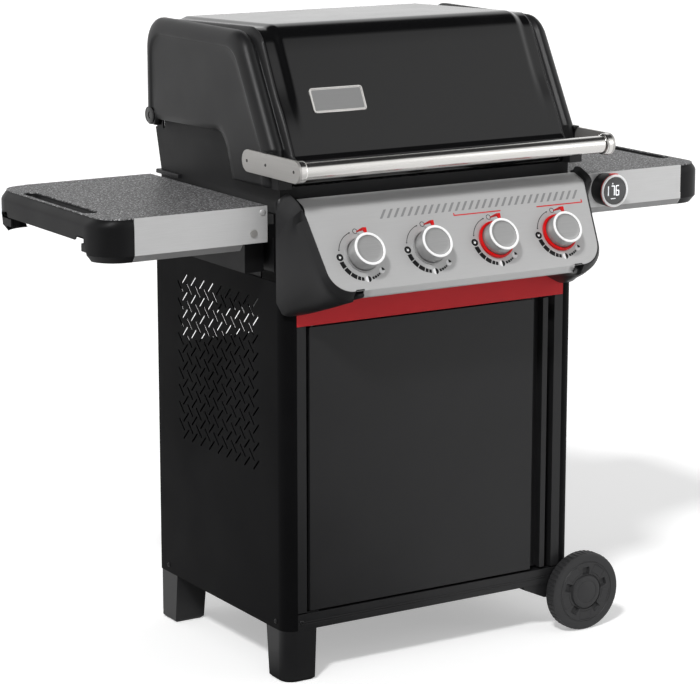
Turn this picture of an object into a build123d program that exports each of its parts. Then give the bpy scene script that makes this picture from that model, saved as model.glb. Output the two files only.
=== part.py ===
from build123d import *
import math
import os

# A four-burner gas barbecue grill on a wheeled cabinet, with two side tables.
# Millimetres. X runs to the right, Y to the back, Z up from the floor.
# A depth is a distance back from the cabinet's front face, and a height is one up from the floor.

# Sheet steel, castings and clearances
steel = 2.0
casting = 3.0
gap = 0.3
pin_clearance = 0.05

# Cabinet
cart_width = 635.6
cart_depth = 481.0
half_cart = cart_width / 2
cabinet_floor = 97.6
side_top = 740.0
post_depth = 26.6
post_radius = 25.6
post_rear_radius = 4.0
frame_half = half_cart - post_depth - gap
rail_height = 29.9
rail_top = cabinet_floor + rail_height
rail_depth = 28.0
rail_groove_heights = (109.0, 113.4)
groove_width = 1.6
groove_depth = 0.8
tie_width = 28.0
band_drop = 7.0
band_height = 72.2
band_top = side_top - band_drop
band_bottom = band_top - band_height
back_opening_inset = 26.9
back_opening_drop = 20.0
back_opening_height = 175.0
back_opening_half = frame_half - back_opening_inset
back_opening_top = side_top - back_opening_drop
back_opening_bottom = back_opening_top - back_opening_height

# Slots in the side panels, in a herringbone
slot_length = 29.0
slot_width = 3.8
slot_pitch = 33.4
slot_columns = 9
slot_rows = 9
slot_field_depth = 251.1
slot_field_height = 540.7
slot_shift = 16.2
slot_angle = 45

# Door
opening_inset = 18.9
frame_opening_half = frame_half - opening_inset
frame_flange = 32.0
door_gap_left = 7.0
door_gap_right = 15.0
door_gap_bottom = 4.7
door_gap_top = 2.8
door_left = frame_opening_half - door_gap_left
door_right = frame_opening_half - door_gap_right
door_bottom = rail_top + door_gap_bottom
door_top = band_bottom - door_gap_top
door_depth = 18.0
door_edge_strip = 11.5
pull_width = 21.5
pull_right = door_right - door_edge_strip
pull_left = pull_right - pull_width
pull_depth = 16.0
header_depth = 4.0
header_height = 39.2
liner_thickness = 1.5
door_pin_radius = 3.0
door_pin_inset = 9.0
door_pin_depth = 10.0
door_pin_x = -door_left + door_pin_inset
bracket_length = 27.0
bracket_thickness = 3.0
magnet_width = 28.0
magnet_drop = 48.0

# Feet, axle and wheels
foot_width = 65.8
foot_depth = 68.0
foot_taper_x = 3.6
foot_taper_y = 9.5
foot_chamfer = 5.0
wheel_radius = 76.7
wheel_width = 28.0
wheel_gap = 2.0
wheel_offset = 17.5
wheel_x = half_cart + wheel_offset
tread_round = 5.0
web_thickness = 5.0
web_radius = 57.0
hub_radius = 14.0
hub_cap_radius = 32.0
hub_cap_thickness = 4.0
wheel_reach = wheel_gap + wheel_width + hub_cap_thickness
axle_radius = 6.0
axle_inset = 2.0
axle_boss_radius = 15.0
axle_bracket_depth = 18.0
axle_bracket_length = 124.3
axle_bracket_slope = 49.3
axle_bracket_edge = 6.0

# Control panel
panel_lean = 30.1
panel_top_depth = -42.3
panel_rise = 141.1
panel_length = 161.1
panel_inset = 15.4
panel_narrowing = 16.0
panel_top_height = side_top + panel_rise
panel_half_top = half_cart - panel_inset
panel_half_bottom = panel_half_top - panel_narrowing
panel_corner_radius = 45.0
panel_tail_inset = 60.0
panel_cut_length = 250.0
panel_roll_depth = -14.0
panel_roll_rise = 11.4
panel_roll_height = panel_top_height + panel_roll_rise
panel_roll_radius = 12.0
panel_top_radius = 18.0
panel_lip_radius = 3.0
lip_depth = -116.0
lip_drop = 13.0
lip_height = side_top - lip_drop
cap_overhang = 15.2
cap_half = half_cart + cap_overhang
cap_proud = 0.8
cap_rim = 4.0
cap_flare = 26.0
cap_bottom_drop = 43.0
cap_bottom_height = side_top - cap_bottom_drop
cap_bottom_depth = -48.0
cap_front_radius = 20.0
cap_rear_radius = 15.0
stem_hole_radius = 6.0

# Knobs
dial_positions = (-212.0, -71.5, 71.5, 212.0)
dial_drop = 96.5
knob_length = 32.0
knob_start = 4.5
knob_radius = 28.0
knob_rim_radius = 28.5
knob_rim_width = 2.5
knob_rim_height = 3.0
knob_dish = 1.0
knob_travel = 3.5
knob_wall = 3.0
socket_radius = 7.0
socket_start = 8.0
pointer_reach = 39.0
pointer_width = 5.0
bezel_height = 4.0
bezel_radius = 31.0
red_bezel_height = 7.0
red_bezel_radius = 35.0
stem_radius = 3.0
stem_flat = 2.2
stem_thick_radius = 4.0

# Gas line
valve_width = 24.0
valve_start = 8.0
valve_length = 36.0
jet_radius = 4.0
manifold_radius = 8.7
manifold_overhang = 43.0
manifold_half = dial_positions[-1] + manifold_overhang
inlet_radius = 7.94
inlet_x = -142.0
inlet_length = 24.0
inlet_nut_radius = 11.0
inlet_nut_length = 14.0
burner_radius = 12.5
burner_wall = 1.5
burner_rise = 17.0
burner_end_gap = 20.0

# Cookbox
box_gap = 5.8
box_half = half_cart - box_gap
box_front = 20.0
box_rear_inset = 16.0
box_rear_flare = 20.0
box_rear = cart_depth - box_rear_inset
box_rear_top_depth = box_rear + box_rear_flare
box_rise = 20.0
box_bottom = side_top + box_rise
burner_height = box_bottom + burner_rise
hopper_depth = 34.0
hopper_bottom = box_bottom - hopper_depth
hopper_margin = 20.0
hopper_inset = 45.0
box_front_height = 148.5
box_side_height = 225.0
box_rear_height = 205.0
box_flare_rise = 129.0
box_front_top = box_bottom + box_front_height
box_side_top = box_bottom + box_side_height
box_rear_top = box_bottom + box_rear_height
box_flare_height = box_bottom + box_flare_rise
step_depths = (150.0, 178.0)
ledge = 10.0
bar_ledge_rise = 52.0
grate_ledge_rise = 122.0
bar_ledge_height = box_bottom + bar_ledge_rise
grate_ledge_height = box_bottom + grate_ledge_rise
ledge_thickness = 3.0

# Cooking gear
grate_height = 12.0
grate_bar = 8.0
grate_bars = 15
heat_bar_half = 30.0
heat_bar_rise = 26.0
heat_bar_sheet = 1.5
rack_depth = 110.0
rack_inset = 25.0
rack_rear = box_rear - rack_inset
rack_front = rack_rear - rack_depth
rack_wire = 5.0
rack_wires = 21

# Grease tray
tray_half = 185.0
tray_front = 45.0
tray_rear = cart_depth - steel
tray_drop = 71.0
tray_bottom = hopper_bottom - tray_drop
tray_height = 35.0
tray_lip = 12.0
tray_outlet = 40.0
tray_plate_half = 187.0
tray_plate_drop = 57.0
tray_plate_rise = 57.0
pan_half = 160.0
pan_front = 90.0
pan_rear = 400.0
pan_depth = 50.0
hopper_half = tray_half + hopper_margin

# Lid
hinge_inset = 18.0
hinge_rise = 6.0
lid_rear_depth = box_rear_top_depth
lid_hinge_depth = lid_rear_depth - hinge_inset
lid_hinge_height = box_side_top + hinge_rise
lid_front_bottom_depth = box_front
lid_seat_gap = 1.5
lid_bottom = box_front_top + lid_seat_gap
crease_depth = -1.6
crease_rise = 45.0
crease_height = lid_bottom + crease_rise
crease_radius = 3.0
face_depth = 8.3
face_rise = 53.7
face_height = lid_bottom + face_rise
face_radius = 6.0
face_lean = 27.0
lid_rise = 273.8
lid_top = lid_bottom + lid_rise
lid_rear_drop = 12.0
lid_rear_rise = 12.0
lid_rear_bottom = lid_hinge_height + lid_rear_rise
lid_sheet = 2.5
lid_top_radius = 46.0
lid_rear_radius = 30.0
lid_cut_length = 160.0
lid_overhang = 14.2
end_half = half_cart + lid_overhang
ridge_inset = 8.0
ridge_x = end_half - ridge_inset
groove_inset = 21.0
groove_x = end_half - groove_inset
shell_inset = 42.0
shell_half = end_half - shell_inset
raised_inset = 29.0
raised_half = shell_half - raised_inset
panel_raise = 5.0
groove_sink = 4.0
end_face_depth = 30.7
end_face_rise = 66.0
end_face_height = lid_bottom + end_face_rise
end_lean = 29.2
end_top_drop = 11.8
end_top = lid_top - end_top_drop
end_top_radius = 55.0
end_rear_radius = 44.0
end_front_depth = 21.0
end_edge_inset = 7.0
hinge_pin_radius = 5.0
hinge_cap_radius = 15.0
hinge_cap_thickness = 3.6
ear_radius = 12.0
ear_margin = 6.0

# Lower edge of the cast end: back from the cookbox step and up from the hinge, then forward and down from it
end_step_points = ((6.0, -84.0), (27.0, -23.0), (48.0, 0.0), (74.0, 2.0))
end_hinge_points = ((22.0, 4.0), (17.0, 17.0))

# Handle
handle_radius = 15.875
handle_wall = 1.5
handle_depth = -71.5
handle_rise = 41.0
handle_height = lid_bottom + handle_rise
collar_radius = 20.0
plate_offset = 0.8
plate_x = end_half + plate_offset
collar_length = 10.0
collar_x = plate_x - collar_length
plate_thickness = 5.0
plate_rear = 89.5
rivet_depths = (-71.0, 26.0, 91.0)
rivet_radius = 4.0
rivet_height = 0.8
boss_front = 26.0
boss_rear = 94.0
boss_half = 16.0

# Bare badge plate on the lid's face
badge_inset = 33.0
badge_width = 111.0
badge_start = 76.5
badge_height = 47.5
badge_thickness = 2.0
badge_corner = 5.0
badge_centre_x = badge_inset + badge_width / 2 - raised_half

# Side tables
overall_width = 1318.0
table_half = overall_width / 2
table_gap = 12.4
table_start = half_cart + table_gap
table_front = 33.1
table_rear_inset = 6.3
table_rear = cart_depth - table_rear_inset
table_rise = 138.0
table_top = side_top + table_rise
table_skirt = 65.0
table_bottom = table_top - table_skirt
fascia_lip_rise = 12.4
fascia_lip_depth = 10.0
fascia_lip_inset = 49.8
fascia_lip_start = table_start + fascia_lip_inset
end_cap_width = 66.7
cap_start = table_half - end_cap_width
end_cap_radius = 58.0
end_edge_front = 4.0
end_edge_side = 13.5
end_shoulder_drop = 14.0
end_cap_wall = 5.0
tray_slot_length = 264.0
tray_slot_width = 28.0
tray_slot_depth = 8.0
tray_slot_offset = 33.0
hook_rise = 16.0
hook_depths = (123.0, 405.0)
pivot_inset = 28.1
pivot_x = table_start + pivot_inset
pivot_drop = 47.0
pivot_height = table_top - pivot_drop
pivot_radius = 4.0
pivot_head_radius = 7.0
pivot_head_height = 2.0
arm_reach = 13.7
arm_half = 12.0
arm_gap = 0.1
bracket_front = 54.0
bracket_rear = 250.0
bracket_drop = 68.0
bracket_height = 53.0
bracket_top = table_top - bracket_drop
bracket_bottom = bracket_top - bracket_height
bracket_width = 38.5
bracket_reach = 34.8
bracket_outer = table_start + bracket_reach
bracket_webs = (110.0, 200.0)
bracket_plate_drop = 18.0
bracket_plate_top = table_top - bracket_plate_drop
leg_drop = 25.0
leg_length = 60.0

# Round display on the right fascia
display_inset = 74.3
display_x = table_start + display_inset
display_drop = 30.0
display_height = table_top - display_drop
display_radius = 31.5
display_reach = 30.0
display_rim = 5.0
screen_recess = 0.5
screen_thickness = 3.0

# Screws in the cabinet's bottom rails
screw_radius = 4.5
screw_height = 2.0
screw_rise = 14.4
screw_inset = 8.2
screw_edge = 34.0
screw_x = frame_half - screw_inset
screw_depths = (screw_edge, cart_depth - screw_edge)

# Sizes that follow from the control panel's lean
lean_sin = math.sin(math.radians(panel_lean))
lean_cos = math.cos(math.radians(panel_lean))
dial_depth = panel_top_depth - dial_drop * lean_sin

# The model is centred between the lowest knob rim in front and the rear wheel's hub cap behind
front_reach = -dial_depth + knob_length * lean_cos + knob_rim_radius * lean_sin
front_y = (front_reach - cart_depth - wheel_reach) / 2

os.makedirs("parts", exist_ok=True)


def save(part, name):
    """Labels a finished piece and writes its STEP file."""
    part.label = name
    export_step(part, f"parts/{name}.step")


def level(height):
    """Horizontal plane: X to the right, and depth."""
    return Plane(origin=(0, front_y, height))


def profile(x):
    """Upright plane seen from the right: depth and height, extruding towards +X."""
    return Plane(origin=(x, front_y, 0), x_dir=(0, 1, 0), z_dir=(1, 0, 0))


def elevation(depth):
    """Upright plane seen from the front: X and height, extruding towards the front."""
    return Plane(origin=(0, front_y + depth, 0), x_dir=(1, 0, 0), z_dir=(0, -1, 0))


def middle_plane():
    """The upright plane halfway along the cabinet, for what repeats at its rear."""
    return elevation(cart_depth / 2)


def face_frame(x, drop):
    """Plane on the control panel's face, drop below its top edge; Z points out, Y up the slope."""
    depth = panel_top_depth - drop * lean_sin
    height = panel_top_height - drop * lean_cos
    return Plane(origin=(x, front_y + depth, height), x_dir=(1, 0, 0), z_dir=(0, -lean_cos, lean_sin))


def bent_sheet(path, thickness):
    """Outline of a sheet bent along a path, with its thickness to the left of the path."""
    points = [Vector(*point) for point in path]
    runs = [(b - a).normalized() for a, b in zip(points, points[1:])]
    normals = [Vector(-run.Y, run.X) for run in runs]
    corners = zip(points, [normals[0]] + normals, normals + [normals[-1]])
    moved = [p + (n + m) * (thickness / (1 + n.dot(m))) for p, n, m in corners]
    return [(point.X, point.Y) for point in points + moved[::-1]]


def rounded_outline(corners):
    """Closed face from (x, y, radius) corners, in the sketch that is open."""
    with BuildLine() as outline:
        FilletPolyline(*[(x, y) for x, y, r in corners], radius=[r for x, y, r in corners], close=True)
    make_face(outline.edges())


# ---------------------------------------------------------------- cabinet


def slot_field():
    """Two grids of slanted slots that cross into a herringbone."""
    with Locations((slot_field_depth, slot_field_height)):
        with GridLocations(slot_pitch, slot_pitch, slot_columns, slot_rows):
            SlotOverall(slot_length, slot_width, rotation=slot_angle)
    with Locations((slot_field_depth - slot_shift, slot_field_height)):
        with GridLocations(slot_pitch, slot_pitch, slot_columns, slot_rows + 1):
            SlotOverall(slot_length, slot_width, rotation=-slot_angle)


with BuildPart() as left_side_panel:
    with BuildSketch(level(cabinet_floor)) as plan:
        with Locations((-half_cart + post_depth / 2, cart_depth / 2)):
            Rectangle(post_depth, cart_depth)
        fillet(plan.vertices().group_by(Axis.X)[0].sort_by(Axis.Y)[0], post_radius)
        fillet(plan.vertices().group_by(Axis.X)[0].sort_by(Axis.Y)[-1], post_rear_radius)
        offset(amount=-steel, mode=Mode.SUBTRACT)
        with Locations((-half_cart + post_depth, cart_depth / 2)):
            Rectangle(2 * steel, cart_depth - 2 * steel, mode=Mode.SUBTRACT)
    extrude(amount=side_top - cabinet_floor)
    with BuildSketch(profile(-half_cart)):
        slot_field()
    extrude(amount=steel, mode=Mode.SUBTRACT)
save(left_side_panel.part, "left_side_panel")

with BuildPart() as right_side_panel:
    mirror(left_side_panel.part, about=Plane.YZ)
save(right_side_panel.part, "right_side_panel")

frame_foot = rail_top + steel + 2 * gap

with BuildPart() as door_frame:
    for side in (-1, 1):
        opening_edge = side * frame_opening_half
        path = [(side * frame_half, 0), (opening_edge, 0), (opening_edge, frame_flange)]
        with BuildSketch(level(frame_foot)):
            Polygon(*bent_sheet(path, -side * steel))
        extrude(amount=band_bottom - gap - frame_foot)
    with BuildSketch(elevation(header_depth)):
        with Locations((0, band_bottom + header_height / 2)):
            Rectangle(2 * (frame_opening_half + steel), header_height)
        for side in (-1, 1):
            with Locations((side * (frame_opening_half + steel / 2), band_bottom)):
                Rectangle(steel, 2 * bracket_length)
    extrude(amount=-steel)
save(door_frame.part, "door_frame")

with BuildPart() as base_frame:
    rail_path = [(rail_depth, rail_top), (0, rail_top), (0, cabinet_floor), (rail_depth, cabinet_floor)]
    with BuildSketch(profile(-frame_half)):
        Polygon(*bent_sheet(rail_path, steel))
        for height in rail_groove_heights:
            with Locations((0, height)):
                Rectangle(2 * groove_depth, groove_width, mode=Mode.SUBTRACT)
    extrude(amount=2 * frame_half)
    mirror(about=middle_plane())
    with BuildSketch(level(cabinet_floor)):
        for side in (-1, 1):
            with Locations((side * (frame_half - tie_width / 2), cart_depth / 2)):
                Rectangle(tie_width, cart_depth - rail_depth)
    extrude(amount=steel)
save(base_frame.part, "base_frame")

with BuildPart() as bottom_shelf:
    shelf_front = door_depth + 4 * steel
    with BuildSketch(level(rail_top + gap)):
        with Locations((0, (shelf_front + cart_depth - 2 * steel) / 2)):
            Rectangle(2 * frame_half, cart_depth - 2 * steel - shelf_front)
        notch = 2 * (frame_half - frame_opening_half + gap)
        with Locations((-frame_half, shelf_front), (frame_half, shelf_front)):
            Rectangle(notch, 2 * (frame_flange + gap - shelf_front), mode=Mode.SUBTRACT)
    extrude(amount=steel)
save(bottom_shelf.part, "bottom_shelf")

with BuildPart() as back_panel:
    with BuildSketch(elevation(cart_depth)):
        with Locations((0, (rail_top + gap + band_top) / 2)):
            Rectangle(2 * frame_half, band_top - rail_top - gap)
        with Locations((0, (back_opening_bottom + back_opening_top) / 2)):
            Rectangle(2 * back_opening_half, back_opening_top - back_opening_bottom, mode=Mode.SUBTRACT)
    extrude(amount=steel)
save(back_panel.part, "back_panel")

with BuildPart() as red_band:
    with BuildSketch(elevation(0)):
        with Locations((0, (band_bottom + band_top) / 2)):
            Rectangle(2 * frame_half, band_top - band_bottom)
    extrude(amount=-steel)
save(red_band.part, "red_band")



def foot(corner_radius):
    """The front left foot, tapered, with its outer corner rounded like the post above it."""
    with BuildPart() as made:
        for height, shrink in ((0, 1), (cabinet_floor, 0)):
            width = foot_width - shrink * foot_taper_x
            depth = foot_depth - shrink * foot_taper_y
            with BuildSketch(level(height)) as foot_plan:
                with Locations((-half_cart + width / 2, depth / 2)):
                    Rectangle(width, depth)
                fillet(foot_plan.vertices().sort_by(Axis((0, 0, 0), (1, 1, 0)))[0], corner_radius)
        loft()
        chamfer(made.faces().sort_by(Axis.Z)[0].edges(), foot_chamfer)
    return made.part


with BuildPart() as left_feet:
    add(foot(post_radius))
    mirror(foot(post_rear_radius + foot_chamfer), about=middle_plane())
save(left_feet.part, "left_feet")

with BuildPart() as axle_brackets:
    with BuildSketch(elevation(steel)):
        Polygon(
            (wheel_x - axle_bracket_length, cabinet_floor),
            (wheel_x - axle_bracket_length, cabinet_floor - axle_bracket_edge),
            (wheel_x - axle_bracket_length + axle_bracket_slope, wheel_radius - axle_boss_radius / 2),
            (wheel_x, wheel_radius - axle_boss_radius),
            (wheel_x, wheel_radius + axle_boss_radius),
            (half_cart, cabinet_floor),
        )
        with Locations((wheel_x, wheel_radius)):
            Circle(axle_boss_radius)
            Circle(axle_radius + pin_clearance, mode=Mode.SUBTRACT)
    extrude(amount=-axle_bracket_depth)
    mirror(about=middle_plane())
save(axle_brackets.part, "axle_brackets")

with BuildPart() as axle:
    axle_start = -wheel_gap - wheel_width + axle_inset
    with BuildSketch(elevation(axle_start)):
        with Locations((wheel_x, wheel_radius)):
            Circle(axle_radius)
    extrude(amount=-(cart_depth - 2 * axle_start))
save(axle.part, "axle")


def wheel_profile():
    """Half section of a wheel: radius, and depth from the cabinet's front face."""
    back = -wheel_gap
    front = back - wheel_width
    return [
        (axle_radius + pin_clearance, front),
        (hub_cap_radius, front),
        (hub_cap_radius + web_thickness / 2, front + web_thickness / 2),
        (web_radius - web_thickness / 2, front + web_thickness / 2),
        (web_radius, front),
        (wheel_radius - tread_round, front),
        (wheel_radius, front + tread_round),
        (wheel_radius, back - tread_round),
        (wheel_radius - tread_round, back),
        (web_radius, back),
        (web_radius, front + 2 * web_thickness),
        (hub_radius, front + 2 * web_thickness),
        (hub_radius, back),
        (axle_radius + pin_clearance, back),
    ]


wheel_axis = Axis((wheel_x, front_y, wheel_radius), (0, 1, 0))

with BuildPart() as front_wheel:
    with BuildSketch(Plane(origin=(wheel_x, front_y, wheel_radius))):
        Polygon(*wheel_profile())
    revolve(axis=wheel_axis)
save(front_wheel.part, "front_wheel")

with BuildPart() as rear_wheel:
    mirror(front_wheel.part, about=middle_plane())
save(rear_wheel.part, "rear_wheel")

with BuildPart() as front_hub_cap:
    with BuildSketch(elevation(-wheel_gap - wheel_width)):
        with Locations((wheel_x, wheel_radius)):
            Circle(hub_cap_radius)
    extrude(amount=hub_cap_thickness)
    chamfer(front_hub_cap.faces().sort_by(Axis.Y)[0].edges(), hub_cap_thickness / 2)
save(front_hub_cap.part, "front_hub_cap")

with BuildPart() as rear_hub_cap:
    mirror(front_hub_cap.part, about=middle_plane())
save(rear_hub_cap.part, "rear_hub_cap")

screw_level = cabinet_floor + screw_rise

with BuildPart() as cabinet_screws:
    with BuildSketch(elevation(0)):
        with Locations((-screw_x, screw_level), (screw_x, screw_level)):
            Circle(screw_radius)
    extrude(amount=screw_height)
    with BuildSketch(profile(half_cart)):
        with Locations(*[(depth, screw_level) for depth in screw_depths]):
            Circle(screw_radius)
    extrude(amount=screw_height)
    with BuildSketch(profile(-half_cart)):
        with Locations(*[(depth, screw_level) for depth in screw_depths]):
            Circle(screw_radius)
    extrude(amount=-screw_height)
save(cabinet_screws.part, "cabinet_screws")

# ---------------------------------------------------------------- door

with BuildPart() as door_panel:
    door_path = [
        (-door_left, door_depth),
        (-door_left, 0),
        (pull_left, 0),
        (pull_left, pull_depth),
        (pull_right, pull_depth),
        (pull_right, 0),
        (door_right, 0),
        (door_right, door_depth),
    ]
    with BuildSketch(level(door_bottom)):
        Polygon(*bent_sheet(door_path, steel))
    extrude(amount=door_top - door_bottom)
    for height in (door_bottom, door_top - steel):
        with BuildSketch(level(height)):
            with Locations(((pull_left - door_left) / 2, door_depth / 2)):
                Rectangle(pull_left + door_left - steel, door_depth)
            with Locations((door_pin_x, door_pin_depth)):
                Circle(door_pin_radius + pin_clearance, mode=Mode.SUBTRACT)
        extrude(amount=steel)
save(door_panel.part, "door_panel")

with BuildPart() as door_liner:
    with BuildSketch(elevation(door_depth + gap)):
        with Locations(((door_right - door_left) / 2, (door_top + door_bottom) / 2)):
            Rectangle(door_right + door_left, door_top - door_bottom)
    extrude(amount=-liner_thickness)
save(door_liner.part, "door_liner")

with BuildPart() as door_hinge_pins:
    for start, end in (
        (rail_top + gap, door_bottom + bracket_thickness + door_depth),
        (door_top - bracket_thickness - door_depth, band_bottom + bracket_thickness),
    ):
        with BuildSketch(level(start)):
            with Locations((door_pin_x, door_pin_depth)):
                Circle(door_pin_radius)
        extrude(amount=end - start)
save(door_hinge_pins.part, "door_hinge_pins")

with BuildPart() as door_hinge_brackets:
    lower_front = steel + gap
    upper_front = header_depth + steel + gap
    for start, front in ((rail_top, lower_front), (band_bottom, upper_front)):
        with BuildSketch(level(start)):
            with Locations((-frame_opening_half + bracket_length / 2, (front + door_depth) / 2)):
                Rectangle(bracket_length, door_depth - front)
            with Locations((door_pin_x, door_pin_depth)):
                Circle(door_pin_radius + pin_clearance, mode=Mode.SUBTRACT)
        extrude(amount=bracket_thickness)
save(door_hinge_brackets.part, "door_hinge_brackets")

with BuildPart() as door_magnet:
    magnet_front = door_depth + liner_thickness + 2 * gap
    with BuildSketch(level(door_top - magnet_drop)):
        with Locations((frame_opening_half - magnet_width / 2, (magnet_front + frame_flange) / 2)):
            Rectangle(magnet_width, frame_flange - magnet_front)
    extrude(amount=magnet_width)
save(door_magnet.part, "door_magnet")

# ---------------------------------------------------------------- cookbox and what it holds

with BuildPart() as cookbox:
    rear_wall = [(box_rear, box_bottom), (box_rear, box_flare_height), (box_rear_top_depth, box_rear_top)]
    with BuildSketch(profile(-box_half)):
        Polygon(
            (box_front, box_bottom),
            (box_front, box_front_top),
            (step_depths[0], box_front_top),
            (step_depths[1], box_side_top),
            (lid_hinge_depth - ear_radius - ear_margin, box_side_top),
            (lid_hinge_depth - ear_radius - ear_margin, box_rear_top),
            (box_rear_top_depth, box_rear_top),
            (box_rear, box_flare_height),
            (box_rear, box_bottom),
        )
        with Locations((lid_hinge_depth, (lid_hinge_height + box_rear_top - ear_radius) / 2)):
            Rectangle(2 * ear_radius, lid_hinge_height - box_rear_top + ear_radius)
        with Locations((lid_hinge_depth, lid_hinge_height)):
            Circle(ear_radius)
            Circle(hinge_pin_radius + pin_clearance, mode=Mode.SUBTRACT)
    extrude(amount=casting)
    mirror(about=Plane.YZ)
    with BuildSketch(profile(-box_half)):
        Polygon(*bent_sheet([(box_front, box_front_top), (box_front, box_bottom)], casting))
        Polygon(*bent_sheet(rear_wall, casting))
        for depth in (box_front + casting, box_rear - casting - ledge):
            for height in (bar_ledge_height, grate_ledge_height):
                with Locations((depth + ledge / 2, height)):
                    Rectangle(ledge + casting, ledge_thickness)
    extrude(amount=2 * box_half)
    for inset, mode in ((0, Mode.ADD), (casting, Mode.SUBTRACT)):
        for height, half, shrink in ((box_bottom, box_half, 0), (hopper_bottom, hopper_half, hopper_inset)):
            with BuildSketch(level(height)):
                with Locations((0, (box_front + box_rear) / 2)):
                    Rectangle(2 * (half - inset), box_rear - box_front - 2 * (shrink + inset))
        loft(mode=mode)
    with BuildSketch(elevation(0)):
        with Locations(*[(x, burner_height) for x in dial_positions]):
            Circle(burner_radius + gap)
    extrude(amount=-(box_front + 2 * casting), mode=Mode.SUBTRACT)
save(cookbox.part, "cookbox")

with BuildPart() as burner_tubes:
    burner_start = box_front - 2 * ledge + casting
    for x in dial_positions:
        with BuildSketch(elevation(burner_start)):
            with Locations((x, burner_height)):
                Circle(burner_radius)
        extrude(amount=-(box_rear - burner_end_gap - burner_start))
        with BuildSketch(elevation(burner_start)):
            with Locations((x, burner_height)):
                Circle(burner_radius - burner_wall)
        extrude(amount=-(box_rear - burner_end_gap - burner_start - burner_wall), mode=Mode.SUBTRACT)
save(burner_tubes.part, "burner_tubes")

with BuildPart() as heat_bars:
    bar_foot = bar_ledge_height + ledge_thickness / 2 + heat_bar_sheet
    bar_inset = casting + gap
    for x in dial_positions:
        ridge = (x, bar_foot + heat_bar_rise)
        bar_path = [(x + heat_bar_half, bar_foot), ridge, (x - heat_bar_half, bar_foot)]
        with BuildSketch(elevation(box_front + bar_inset)):
            Polygon(*bent_sheet(bar_path, heat_bar_sheet))
        extrude(amount=-(box_rear - box_front - 2 * bar_inset))
save(heat_bars.part, "heat_bars")

with BuildPart() as cooking_grates:
    grate_foot = grate_ledge_height + ledge_thickness / 2 + gap
    grate_width = box_half - casting - 3 * gap
    grate_depth = box_rear - box_front - 2 * casting - 4 * gap
    bar_pitch = (grate_width - grate_bar) / (grate_bars - 1)
    for side in (-1, 1):
        with BuildSketch(level(grate_foot)):
            with Locations((side * (grate_width / 2 + gap), (box_front + box_rear) / 2)):
                with GridLocations(bar_pitch, grate_depth, grate_bars, 1):
                    Rectangle(grate_bar, grate_depth)
                with GridLocations(grate_width, (grate_depth - grate_bar) / 2, 1, 3):
                    Rectangle(grate_width, grate_bar)
        extrude(amount=grate_height)
save(cooking_grates.part, "cooking_grates")

with BuildPart() as warming_rack:
    rack_width = 2 * box_half - 2 * gap
    rack_pitch = (rack_width - rack_wire) / (rack_wires - 1)
    with BuildSketch(level(box_side_top + gap)):
        with Locations((0, (rack_front + rack_rear) / 2)):
            with GridLocations(rack_pitch, 1, rack_wires, 1):
                Rectangle(rack_wire, rack_rear - rack_front)
            with GridLocations(1, rack_rear - rack_front - rack_wire, 1, 2):
                Rectangle(rack_width, rack_wire)
    extrude(amount=rack_wire)
save(warming_rack.part, "warming_rack")

with BuildPart() as grease_tray:
    tray_top = tray_bottom + tray_height
    tray_width = 2 * tray_half
    tray_length = tray_rear - tray_front
    with BuildSketch(level(tray_bottom)):
        with Locations((0, (tray_front + tray_rear) / 2)):
            Rectangle(tray_width, tray_length)
    extrude(amount=tray_height)
    with BuildSketch(level(tray_top - steel)):
        with Locations((0, (tray_front + tray_rear) / 2)):
            Rectangle(tray_width + 2 * tray_lip, tray_length)
    extrude(amount=steel)
    with BuildSketch(level(tray_bottom + steel)):
        with Locations((0, (tray_front + tray_rear) / 2)):
            Rectangle(tray_width - 2 * steel, tray_length - 2 * steel)
    extrude(amount=tray_height - steel, mode=Mode.SUBTRACT)
    with BuildSketch(level(tray_bottom)):
        with Locations((0, (pan_front + pan_rear) / 2)):
            Rectangle(tray_outlet, tray_outlet)
    extrude(amount=steel, mode=Mode.SUBTRACT)
    with BuildSketch(elevation(tray_rear)):
        with Locations((0, tray_bottom + (tray_plate_rise - tray_plate_drop) / 2)):
            Rectangle(2 * tray_plate_half, tray_plate_rise + tray_plate_drop)
    extrude(amount=-steel)
save(grease_tray.part, "grease_tray")

with BuildPart() as catch_pan:
    with BuildSketch(level(tray_bottom - pan_depth)):
        with Locations((0, (pan_front + pan_rear) / 2)):
            Rectangle(2 * pan_half, pan_rear - pan_front)
    extrude(amount=pan_depth)
    with BuildSketch(level(tray_bottom - pan_depth + steel)):
        with Locations((0, (pan_front + pan_rear) / 2)):
            Rectangle(2 * (pan_half - steel), pan_rear - pan_front - 2 * steel)
    extrude(amount=pan_depth - steel, mode=Mode.SUBTRACT)
save(catch_pan.part, "catch_pan")

with BuildPart() as tray_runners:
    runner_inner = tray_half + 2 * gap
    runner_outer = tray_half + tray_lip + gap
    runner_level = tray_top - 2 * steel - gap
    for side in (-1, 1):
        runner_path = [
            (side * runner_inner, runner_level),
            (side * (runner_outer + steel), runner_level),
            (side * (runner_outer + steel), hopper_bottom - gap),
        ]
        with BuildSketch(elevation(tray_front)):
            Polygon(*bent_sheet(runner_path, side * steel))
        extrude(amount=-(box_rear - tray_front))
save(tray_runners.part, "tray_runners")

# ---------------------------------------------------------------- control panel


def panel_outline(grow):
    """Outline of the silver face, in the plane on its top edge, grown by a clearance."""
    top = (panel_half_top + grow, 0)
    bottom = (panel_half_bottom + grow, -panel_length - grow)
    tail = panel_half_bottom - panel_tail_inset + grow
    half = [
        (top[0], panel_length, 0),
        (*top, 0),
        (*bottom, panel_corner_radius),
        (tail, bottom[1], 0),
        (tail, -panel_cut_length, 0),
    ]
    return half + [(-x, y, r) for x, y, r in reversed(half)]


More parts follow.
